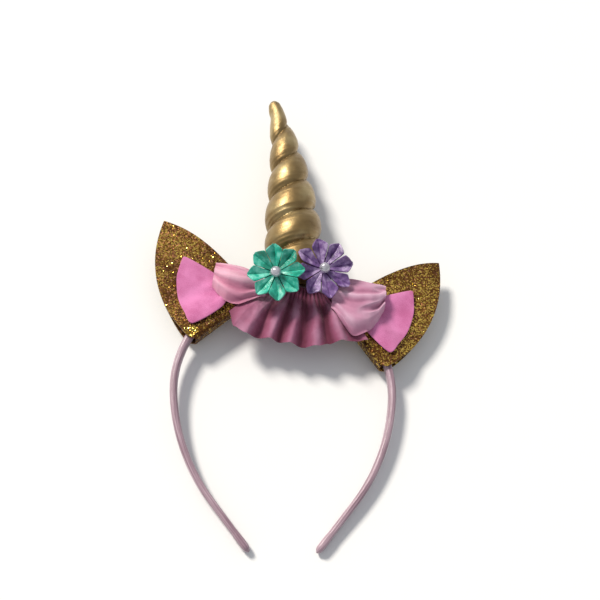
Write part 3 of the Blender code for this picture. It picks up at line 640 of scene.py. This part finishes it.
# From the middle of the ear to the middle of a leaf's sheet
def earDepth(height):
    opened = band["width"] / 2 + gap + ear["sheet"] / 2
    share = smooth((height - earStraight + 0.001) / (ear["closeLength"] + 0.002))
    return opened - (opened - ear["sheet"] / 2 - 0.00005) * share


def bowAt(start, control, end, t):
    return start * (1 - t) ** 2 + control * (2 * t * (1 - t)) + end * t * t


# Ends of a row across the ear, at a share of the way up both curved sides
def earSides(t):
    tip = Vector((foldLength * ear["tipShare"], ear["height"]))
    lowBow = Vector((foldLength * ear["lowerBow"][0], ear["height"] * ear["lowerBow"][1]))
    highBow = Vector((foldLength * ear["upperBow"][0], ear["height"] * ear["upperBow"][1]))
    low = bowAt(Vector((0, ear["corner"])), lowBow, tip, t)
    high = bowAt(Vector((foldLength, ear["corner"])), highBow, tip, t)
    return low, high


# Row runs from -1 at the back leaf's tip over the fold at 0 to 1 at the front leaf's tip
def earPoint(across, row):
    front = 1 if row > 0 else -1
    climb, fold, flatShare, soft = abs(row), ear["foldShare"], ear["foldFlat"], ear["foldRadius"]
    if climb < fold:
        along = climb / fold
        turn = min(1.0, max(0.0, (along - flatShare) / (1 - flatShare))) * math.pi / 2
        flat = earDepth(0) - soft
        depth = flat * min(1.0, along / flatShare) + soft * math.sin(turn)
        height = ear["sheet"] / 2 + soft * (1 - math.cos(turn))
        trim = ear["corner"] - height
        left, right = Vector((trim, height)), Vector((foldLength - trim, height))
    else:
        # The first rows run from the fold's cut corners out to the curved sides
        t = (climb - fold) / (1 - fold)
        begin = ear["sidesFrom"]
        low, high = earSides(max(0.0, t - begin) / (1 - begin) * ear["sidesTo"])
        rise = smooth(t / ear["cornerRise"])
        start = ear["sheet"] / 2 + soft
        trim = ear["corner"] - start
        left = Vector((trim, start)).lerp(low, rise)
        right = Vector((foldLength - trim, start)).lerp(high, rise)
    spot = left.lerp(right, across)
    if climb >= fold:
        depth = earDepth(spot.y)
    loose = smooth((spot.y - earClosed) / ear["looseOver"])
    scale = ear["wobbleScale"]
    wobble = ear["wobble"] * waves(spot.x * scale, spot.y * scale, 7.7 + front) * loose
    return Vector((spot.x, spot.y, front * depth + wobble))


def buildEar(side, end):
    rows = 2 * (ear["leafRows"] + 6)
    leaf = gridPiece("ear" + end, ear["columns"], rows, lambda x, y: earPoint(x, 2 * y - 1))
    addModifier(leaf, "SOLIDIFY", thickness=ear["sheet"], offset=0, use_even_offset=True)
    startEdit()
    bpy.ops.mesh.remove_doubles(threshold=0.00003)
    endEdit()
    node = "ear_" + end.lower()
    return finishPiece(leaf, earPlace(side), goldGlitter, replaced=[node])


# Loose bright flakes of glitter over both leaves
def buildFlakes(side, end):
    pick = random.Random(11 + side)
    bpy.ops.mesh.primitive_circle_add(vertices=6, radius=ear["flakeSize"], fill_type="NGON")
    flakes = bpy.context.object
    flakes.name = flakes.data.name = "flakes" + end
    built = bmesh.new()
    first, reach = ear["flakeRows"]
    glintRows, glintWidth = ear["glintPatch"]
    for i in range(ear["flakes"]):
        front = 1 if i % 2 else -1
        row = first + reach * (1 - math.sqrt(pick.random()))
        across = 0.01 + 0.98 * pick.random()
        if side < 0 and i % 6 < 3:    # extra flakes crowd the left ear's lower corner as a painted glint
            row, across = first + glintRows * row, glintWidth * across
        spot = earPoint(across, front * row)
        lean = rotated(pick.gauss(0, ear["flakeLean"]), "X")
        lean = lean @ rotated(pick.gauss(0, ear["flakeLean"]), "Y")
        spin = Matrix.Rotation(pick.random() * math.tau, 4, "Z")
        up = Vector((0, 0, front * (ear["sheet"] / 2 + ear["flakeClear"])))
        scale = Matrix.Scale(pick.uniform(*ear["flakeSizes"]), 4)
        place = Matrix.Translation(spot + up) @ lean @ spin @ scale
        if front < 0:
            place = place @ Matrix.Rotation(math.pi, 4, "X")
        bmesh.ops.create_circle(built, cap_ends=True, segments=6, radius=ear["flakeSize"], matrix=place)
    built.to_mesh(flakes.data)
    built.free()
    return finishPiece(flakes, earPlace(side), glitterFlake)


# Felt lies on the front leaf, with soft creases running out from the pinch under the ruffle
def feltPoint(x, y, front, seed):
    leaf = earDepth(y) + ear["sheet"] / 2 + gap + felt["thickness"] / 2
    pinch = Vector((foldLength * felt["pinch"][0], felt["height"] * felt["pinch"][1]))
    away = Vector((x, y)) - pinch
    far = away.length / felt["height"]
    turn = math.atan2(away.y, away.x)
    near = math.exp(-(far / felt["creaseReach"]) ** 2) * smooth(far / 0.10)
    crease = math.sin(turn * felt["creases"] + seed) * near
    soft = 0.5 + 0.5 * waves(x * felt["liftScale"], y * felt["liftScale"], seed * 3)
    return front * (leaf + felt["lift"] * soft + felt["crease"] * max(-0.2, crease))


def buildInnerEar(side, end):
    front = -1 if side > 0 else 1
    corners = [Vector((x * foldLength, y * felt["height"])) for x, y in felt["outline"]]
    count = len(corners)
    patch = ringPiece("innerEar" + end, count * felt["cuts"])
    for i, vertex in enumerate(patch.data.vertices):
        k, t = divmod(i, felt["cuts"])
        t /= felt["cuts"]
        a, b, c, d = (corners[(k + n) % count] for n in (-1, 0, 1, 2))
        spot = b.lerp(c, t).lerp(throughAt(a, b, c, d, t), felt["rounding"])
        vertex.co = (spot.x, spot.y, 0)
    middle = sum(corners, Vector((0, 0))) / count
    startEdit()
    for i in range(felt["rings"] - 1):
        share = 1 - 1 / (felt["rings"] - i)
        bpy.ops.mesh.extrude_region_move()
        bpy.ops.transform.resize(value=(share, share, 1), center_override=(middle.x, middle.y, 0))
    closeEnd()
    endEdit(outwards=True)
    for vertex in patch.data.vertices:
        vertex.co.z = feltPoint(vertex.co.x, vertex.co.y, front, 0.6 + side)
    addModifier(patch, "SOLIDIFY", thickness=felt["thickness"] * felt["shownShare"], offset=0)
    addBevel(patch, felt["edge"], 3, 50)
    node = "inner_ear_" + end.lower()
    return finishPiece(patch, earPlace(side), pinkFelt, replaced=[node])


for side, end in ((1, "Right"), (-1, "Left")):
    leaf = buildEar(side, end)
    patch = buildInnerEar(side, end)
    buildFlakes(side, end)
print("ears folded and lined")


# Chiffon ruffle, a frill hanging from the band with a gathered puff on each side

cloth = {
    "thickness": 0.001,    # room kept for the layer, and below how thick it is drawn
    "shown": 0.00045, "drop": 0.0365, "width": 0.078, "gatherWidth": 0.034, "offset": 0.003, "lift": 0.003,
    "sideShare": 0.3, "sideCurve": 3, "bellyShare": 0.86, "spread": 0.85, "fullAt": 0.65, "foldDepth": 0.0024,
    "valleyShare": 0.9, "foldFullAt": 0.75, "rise": (0.72, 0.94), "columns": 250, "rows": 64,
    "gathers": 19, "gatherDepth": 0.00055, "gatherDrift": 0.012, "gatherEnd": 0.62,
    "wrinkle": 0.0007, "wrinkleScale": (17, 3.2), "creaseScale": (34, 7),
    # light holds the painted light of the folds as level, by fold and by gathers; then comes a painted shade
    # across the middle and its span
    "light": (0.42, 0.40, 0.16), "middleShade": 0.10, "shadeFrom": 0.30, "shadeTo": 0.62,
    # Share of the width, share of the drop down to the hem there, how far the fold comes forward
    "folds": [(0.00, 0.62, -0.2), (0.05, 0.86, 0.5), (0.14, 0.95, 0.9), (0.22, 0.96, -0.7),
              (0.31, 0.96, 0.8), (0.38, 0.97, -1.0), (0.46, 0.99, 0.9), (0.54, 1.00, -0.9),
              (0.65, 0.97, 1.0), (0.73, 0.89, -0.9), (0.82, 0.84, 0.9), (0.91, 0.80, -0.5),
              (1.00, 0.76, 0.3)],
}
# Places in shares of the crown's radius. Rows run outwards, with the shares above, below and in height
puffs = [
    {"name": "puffLeft", "node": "puff_left", "start": -0.295, "end": -0.801,
     "above": 0.1046, "below": 0.337, "height": 0.2395,
     "material": sunlitLeftChiffon, "seed": 2.0, "flat": (0.030, 0.032),
     "rows": [(0.00, -0.30, 0.55, 0.84), (0.20, 0.30, 0.72, 0.90), (0.45, 0.62, 0.92, 1.00),
              (0.70, 0.80, 0.84, 0.94), (0.88, 0.92, 0.62, 0.74), (1.00, 0.98, 0.42, 0.62)]},
    {"name": "puffRight", "node": "puff_right", "start": 0.329, "end": 0.843,
     "above": 0.135, "below": 0.452, "height": 0.253,
     "material": halfLitRightChiffon, "seed": 9.0, "flat": (0.031, 0.040),
     "rows": [(0.00, 0.10, 0.50, 0.86), (0.20, 0.78, 0.78, 0.92), (0.45, 0.86, 1.00, 1.00),
              (0.70, 0.80, 0.88, 0.92), (0.88, 0.90, 0.62, 0.70), (1.00, 0.94, 0.30, 0.58)]},
]
puffShape = {
    "columns": 120, "rows": 120, "pleats": 2.5, "pleat": 0.0012, "outerShare": 0.45,
    "rimShare": 0.66, "rimCurve": 2.4, "reach": 0.0014, "slope": 0.9, "softness": 0.0008,
    "crease": 0.0026, "creaseScale": (1.1, 4.2), "creaseLevel": 0.28, "swing": 0.06,
    # light holds the painted light of the puffs as level, by ridge and by pleat
    "wrinkle": 0.00035, "wrinkleScale": (3, 12), "light": (0.5, 1.1, 0.12),
}


# Cloth on a grid. Its fold attribute holds painted light and shade, from 0 for painted shade in a fold's
# depth to 1 for a painted highlight on its ridge
def clothPiece(name, columns, rows, pointAt, lightAt):
    obj = gridPiece(name, columns, rows, lambda x, y: Vector((x, y, 0)))
    marks = obj.data.attributes.new("fold", "FLOAT", "POINT")
    for vertex, mark in zip(obj.data.vertices, marks.data):
        across, down = vertex.co.x, 1 - vertex.co.y
        mark.value = min(1.0, max(0.0, lightAt(across, down)))
        vertex.co = pointAt(across, down)
    addModifier(obj, "SOLIDIFY", thickness=cloth["shown"], offset=0)
    return obj


def clothBase(x):
    overBand = band["width"] / 2 + gap + cloth["thickness"] / 2
    overEar = overBand + gap + ear["sheet"]
    corner = foldRadius * math.sin(math.radians(ear["upperAngle"]))
    start, end = (share * corner for share in cloth["rise"])
    return overBand + (overEar - overBand) * smooth((abs(x) - start) / (end - start))


def frillFold(across):
    return curveAt(cloth["folds"], across, 2)


def frillGathers(across):
    drift = cloth["gatherDrift"] * waves(across * 7, 1.5, 0.0)
    return math.sin(math.tau * cloth["gathers"] * (across + drift))


def frillPoint(across, down):
    gatherX = cloth["offset"] + cloth["gatherWidth"] * (across - 0.5)
    hemX = cloth["offset"] + cloth["width"] * (across - 0.5)
    gatherY = band["crownRadius"] * math.cos(gatherX / band["crownRadius"])
    hemY = band["crownRadius"] - cloth["drop"] * curveAt(cloth["folds"], across, 1)
    x = gatherX + (hemX - gatherX) * down ** cloth["spread"]
    y = gatherY + (hemY - gatherY) * down
    side = 1 - (1 - cloth["sideShare"]) * abs(2 * across - 1) ** cloth["sideCurve"]
    belly = cloth["lift"] * side * math.sin(math.pi * smooth(down * cloth["bellyShare"]))
    fold = cloth["foldDepth"] * frillFold(across) * smooth(down / cloth["foldFullAt"])
    lift = (cloth["foldDepth"] * cloth["valleyShare"] + belly) * smooth(down / cloth["fullAt"])
    gathers = frillGathers(across) * (1 - smooth(down / cloth["gatherEnd"])) * smooth(down / 0.10)
    wide, high = cloth["wrinkleScale"]
    wrinkle = waves(across * wide, down * high, 4.4) * smooth(down / 0.25)
    wide, high = cloth["creaseScale"]
    wrinkle += 0.5 * waves(across * wide, down * high, 8.8)
    relief = cloth["gatherDepth"] * gathers + cloth["wrinkle"] * wrinkle * smooth(down / 0.2)
    return Vector((x, y, clothBase(x) + lift + fold + relief))


# Painted shade in the frill's fold valleys and between its gathers, painted highlight on their ridges
def frillLight(across, down):
    deep = frillFold(across) * smooth(down / 0.4)
    level, byFold, byGathers = cloth["light"]
    light = level + byFold * deep + byGathers * frillGathers(across) * (1 - smooth(down / 0.6))
    # Painted shade across the frill's middle, under the flowers
    inside = smooth((across - cloth["shadeFrom"]) / 0.3) * (1 - smooth((across - cloth["shadeTo"]) / 0.25))
    return light - cloth["middleShade"] * inside


def puffPleat(across):
    return math.cos(math.tau * puffShape["pleats"] * across)


def puffRidge(puff, along, across):
    seed = puff["seed"]
    swing = across + puffShape["swing"] * waves(along * 2.2, across * 2, seed)
    long, wide = puffShape["creaseScale"]
    ridge = puffShape["creaseLevel"] - abs(waves(along * long, swing * wide, seed + 3))
    long, wide = puffShape["wrinkleScale"]
    return ridge, waves(along * long, swing * wide, seed + 7)


def puffPoint(puff, along, across):
    radius = band["crownRadius"]
    x = radius * (puff["start"] + (puff["end"] - puff["start"]) * along)
    top = radius * (1 + puff["above"] * flowAt(puff["rows"], along, 1))
    bottom = radius * (1 - puff["below"] * flowAt(puff["rows"], along, 2))
    height = radius * puff["height"] * flowAt(puff["rows"], along, 3)
    rim = abs(2 * across - 1) ** puffShape["rimCurve"]
    fading = 1 - (1 - puffShape["outerShare"]) * along
    ridge, wrinkle = puffRidge(puff, along, across)
    z = height * (1 - (1 - puffShape["rimShare"]) * rim)
    z += puffShape["pleat"] * fading * puffPleat(across)
    z += puffShape["crease"] * ridge * smooth(along / 0.12) + puffShape["wrinkle"] * wrinkle
    return Vector((x, top + (bottom - top) * across, z))


# Painted highlight on the puff's crease ridges and pleat crests, painted shade in their hollows
def puffLight(puff, along, across):
    level, byRidge, byPleat = puffShape["light"]
    return level + byRidge * puffRidge(puff, along, across)[0] + byPleat * puffPleat(across)


# Least heights at which cloth at the spots clears the points below, sloping off beside them
def drapeOver(spots, below, clear, reach, slope):
    least = numpy.zeros(len(spots))
    for start in range(0, len(spots), 500):
        part = spots[start:start + 500]
        away = numpy.hypot(part[:, None, 0] - below[None, :, 0], part[:, None, 1] - below[None, :, 1])
        found = below[None, :, 2] + clear - slope * numpy.maximum(0, away - reach)
        least[start:start + 500] = found.max(axis=1)
    return least


def buildPuff(puff, below):
    obj = clothPiece(
        puff["name"], puffShape["columns"], puffShape["rows"],
        lambda *place: puffPoint(puff, *place), lambda *place: puffLight(puff, *place),
    )
    spots = numpy.array([vertex.co for vertex in obj.data.vertices])
    least = drapeOver(spots, below, cloth["thickness"] + gap, puffShape["reach"], puffShape["slope"])
    for vertex, height in zip(obj.data.vertices, least):
        over = height - vertex.co.z
        vertex.co.z += 0.5 * (over + math.hypot(over, puffShape["softness"]))
    return finishPiece(obj, decor, puff["material"], replaced=[puff["node"]])


frillCloth = clothPiece("frillCloth", cloth["columns"], cloth["rows"], frillPoint, frillLight)
below = numpy.array([vertex.co for vertex in frillCloth.data.vertices])[::3]
frillCloth = finishPiece(frillCloth, decor, shadedFrillChiffon, replaced=["frill"])
for puff in puffs:
    piece = buildPuff(puff, below)
print("ruffle gathered")


# Flowers of folded satin ribbon, each on a felt pad with a bead in its middle

flower = {
    "petals": 8, "length": 0.0145, "start": 0.0021, "width": 0.0104, "shoulder": 0.62, "endWidth": 0.0034,
    "rise": 0.0052, "rootLift": 0.08, "tipLift": 0.45, "tipEdge": 0.55, "curl": 1.6,
    "ribbon": 0.0009, "ribbonShare": 0.8, "ribbonEdge": 0.00022, "columns": 26, "rows": 20,
    "crease": 0.0007, "creaseWidth": 0.14, "fold": 0.55, "point": 0.42, "lean": 0.0016, "uneven": 0.0008,
    "wave": 0.0006, "ripple": 0.00018,
    "padWidth": 0.015, "padBack": 0.009, "padDeepest": 0.012, "padClear": 1.4, "padEdge": 0.0005,
    "padFray": 0.03, "padFrayScale": 700,
    "pearl": 0.006, "pearlHole": 0.0009, "pearlRings": 30, "holeRings": 8, "pearlTurn": 28, "pearlTilt": 0.5,
    "pearlSides": 56, "padSides": 48,
}
# Places in shares of the horn's diameter, leans and spins in degrees
flowers = [
    {"name": "mint", "right": -0.388, "up": -0.060, "front": 0.024, "down": 16, "side": -8, "spin": 10,
     "satin": mintSatin, "felt": mintFelt, "slot": "mint_satin"},
    {"name": "lavender", "right": 0.352, "up": 0.194, "front": -0.104, "down": 12, "side": 9, "spin": 22.5,
     "satin": lavenderSatin, "felt": lavenderFelt, "slot": "lavender_satin"},
]


# A point of a petal before it is turned into place, with creases and waves if a seed is given
def petalPoint(along, across, seed=None):
    reach = flower["start"] + flower["length"] * along
    turn = math.pi / flower["petals"]
    sector = math.tan(turn) * reach - gap / 2 / math.cos(turn)
    past = max(0.0, along - flower["shoulder"]) / (1 - flower["shoulder"])
    rounded = flower["width"] / 2 * math.sqrt(max(0.0, 1 - past * past))
    half = max(flower["endWidth"] / 2, min(sector, rounded)) if along > 0.5 else sector
    middle = flower["rootLift"] + (flower["tipLift"] - flower["rootLift"]) * along * along
    opened = (half / (flower["width"] / 2)) ** 2
    edge = opened * (1 - (1 - flower["tipEdge"]) * along) * abs(across) ** flower["curl"]
    z = flower["rise"] * (middle + edge)
    if seed is not None:
        bent = opened * (1 - (1 - flower["tipEdge"]) * along)
        z += flower["rise"] * flower["fold"] * bent * (abs(across) - abs(across) ** flower["curl"])
        z -= flower["crease"] * math.exp(-(across / flower["creaseWidth"]) ** 2) * smooth(along / 0.3)
        z += flower["lean"] * across * math.sin(seed * 2.3) * opened
        z += flower["wave"] * waves(along * 2.1, across * 1.7, seed) * opened
        z += flower["ripple"] * waves(along * 1.5, across * 8, seed + 5) * opened
        half *= 0.985 - flower["point"] * past ** 1.4
        reach += flower["uneven"] * math.sin(seed * 1.7) * smooth(along)
    return Vector((reach, half * across, z))


def buildPetal(kind, number, hub):
    seed = kind["spin"] + number * 3.7
    name = f"{kind['name']}Petal{number + 1}"
    petal = gridPiece(name, flower["columns"], flower["rows"], lambda x, y: petalPoint(x, 2 * y - 1, seed))
    addModifier(petal, "SOLIDIFY", thickness=flower["ribbon"] * flower["ribbonShare"], offset=1)
    addBevel(petal, flower["ribbonEdge"], 2, 60)
    spin = rotated(kind["spin"] + 360 * number / flower["petals"], "Z")
    node = f"{kind['name']}_petal_{number + 1}"
    return finishPiece(petal, hub @ spin, kind["satin"], replaced=[node], sharpAngle=60)


# How high the bead's middle sits when it rests on the petals
def pearlHeight(step=0.01):
    clear = flower["pearl"] / 2 + gap
    best = 0.0
    for along in (i / 7 for i in range(8)):
        for across in (k / 3 - 1 for k in range(7)):
            outwards = petalPoint(along + step, across) - petalPoint(along - step, across)
            sideways = petalPoint(along, across + step) - petalPoint(along, across - step)
            top = petalPoint(along, across) + outwards.cross(sideways).normalized() * flower["ribbon"]
            if top.xy.length < clear:
                best = max(best, top.z + math.sqrt(clear * clear - top.xy.length_squared))
    return best


# A bead with a threading hole along its x axis
def buildPearl(kind, hub):
    radius, hole = flower["pearl"] / 2, flower["pearlHole"] / 2
    bead = ringPiece(kind["name"] + "Pearl", flower["pearlSides"], sideways=True)
    rings, holeRings = flower["pearlRings"], flower["holeRings"]
    opening = math.asin(hole / radius)
    startEdit()
    for i in range(rings + holeRings):
        extrudeBy((1, 0, 0))
    endEdit()
    for vertex in bead.data.vertices:
        ring = round(vertex.co.x)
        turn = math.atan2(vertex.co.y, vertex.co.z)
        if ring <= rings:
            bow = opening + (math.pi - 2 * opening) * ring / rings
            along = -radius * math.cos(bow)
            out = radius * math.sin(bow) * (1 + 0.004 * math.cos(2 * turn))
        else:
            share = (ring - rings) / holeRings
            along = radius * math.cos(opening) * (1 - 2 * share)
            out = hole * (1 - 0.25 * math.sin(math.pi * share))
        vertex.co = (along, out * math.sin(turn), out * math.cos(turn))
    startEdit()
    bpy.ops.mesh.remove_doubles(threshold=0.00002)
    endEdit(outwards=True)
    place = hub @ Matrix.Translation((0, 0, pearlHeight())) @ rotated(flower["pearlTurn"], "Z")
    place = place @ Matrix.Rotation(flower["pearlTilt"], 4, "Y")
    node = kind["name"] + "_pearl"
    return finishPiece(bead, place, pearlWhite, replaced=[node], sharpAngle=60)


# How deep the pad is when its back nearly reaches the horn
def padDepth(hub, hornSkin):
    front, back = flower["padWidth"] / 2, flower["padBack"] / 2
    rings = [(back, 1.0), (back * 0.5, 1.0), ((front + back) / 2, 0.5), (front, 0.0)]
    turns = [math.tau * i / 20 for i in range(20)]
    step = 0.0001
    depth = step
    while depth < flower["padDeepest"]:
        points = [
            Vector((radius * math.cos(turn), radius * math.sin(turn), -gap - (depth + step) * share))
            for radius, share in rings for turn in turns
        ]
        if min(hornSkin.find_nearest(hub @ point)[3] for point in points) < gap * flower["padClear"]:
            break
        depth += step
    return depth


def buildPad(kind, hub, hornSkin):
    depth = padDepth(hub, hornSkin)
    bpy.ops.mesh.primitive_cylinder_add(
        vertices=flower["padSides"], radius=flower["padWidth"] / 2, depth=depth, end_fill_type="TRIFAN",
    )
    pad = bpy.context.object
    pad.name = pad.data.name = kind["name"] + "Pad"
    for vertex in pad.data.vertices:
        if vertex.co.z < 0:
            vertex.co.x *= flower["padBack"] / flower["padWidth"]
            vertex.co.y *= flower["padBack"] / flower["padWidth"]
    addBevel(pad, flower["padEdge"], 3, 40)
    applyModifiers(pad)
    startEdit()
    bpy.ops.mesh.subdivide(number_cuts=3)
    endEdit()
    for vertex in pad.data.vertices:
        out = Vector((vertex.co.x, vertex.co.y, 0))
        x, y, z = (place * flower["padFrayScale"] for place in vertex.co)
        vertex.co -= out * (0.018 + flower["padFray"] * waves(x, y, z))
    place = hub @ Matrix.Translation((0, 0, -gap - depth / 2))
    return finishPiece(pad, place, kind["felt"], replaced=[kind["name"] + "_pad"])


hornMesh = hornCover.data
hornSkin = BVHTree.FromPolygons([v.co for v in hornMesh.vertices], [p.vertices for p in hornMesh.polygons])
for kind in flowers:
    right, up, front = (horn["diameter"] * kind[way] for way in ("right", "up", "front"))
    spot = Vector((right, band["crownRadius"] + up, horn["forward"] + horn["diameter"] / 2 + front))
    hub = decor @ Matrix.Translation(spot) @ (rotated(kind["side"], "Y") @ rotated(kind["down"], "X"))
    for number in range(flower["petals"]):
        petal = buildPetal(kind, number, hub)
    buildPad(kind, hub, hornSkin)
    buildPearl(kind, hub)
print("flowers folded")


# Floor, sun, sky and camera

studio = {
    "floor": (0.90, 0.90, 0.90), "floorSize": 6.0,
    "sun": 3.5, "sunColour": (1.0, 0.95, 0.86), "sunAngle": 14.0, "sunFrom": (-0.53, 0.53, 0.70),
    "sky": 0.46, "skyColour": (0.92, 0.95, 1.0, 1),
    "target": (0.005, 0.0143, 0.0), "aim": (0.0, 0.0, 0.012),
    "distance": 0.45, "away": (-0.09829, -0.34036, 0.93514), "lens": 49.0,
}
bpy.ops.mesh.primitive_plane_add(size=studio["floorSize"], location=(0, 0, 0))
floor = bpy.context.object
floor.name = "floor"
floor.data.materials.append(newFinish("studioFloor", studio["floor"], Roughness=0.75)[0])

bpy.ops.object.light_add(type="SUN", location=(-0.4, 0.2, 0.8))
sun = bpy.context.object
sun.name = "sun"
sun.data.energy = studio["sun"]
sun.data.angle = math.radians(studio["sunAngle"])
sun.data.color = studio["sunColour"]
sun.rotation_euler = Vector(studio["sunFrom"]).to_track_quat("Z", "Y").to_euler()

world = bpy.data.worlds.new("sky")
world.use_nodes = True
background = world.node_tree.nodes["Background"]
background.inputs["Color"].default_value = studio["skyColour"]
background.inputs["Strength"].default_value = studio["sky"]
bpy.context.scene.world = world
bpy.context.scene.view_settings.view_transform = "Standard"

eye = laid @ (Vector(studio["target"]) + Vector(studio["away"]) * studio["distance"])
aim = Vector(studio["aim"])
bpy.ops.object.camera_add(location=eye)
camera = bpy.context.object
camera.name = "camera"
camera.data.lens = studio["lens"]
camera.data.clip_start = 0.01
up = laid.to_3x3() @ Vector((0, 1, 0))
backward = (eye - aim).normalized()
rightward = up.cross(backward).normalized()
camera.rotation_euler = Matrix((rightward, backward.cross(rightward), backward)).transposed().to_euler()
bpy.context.scene.camera = camera
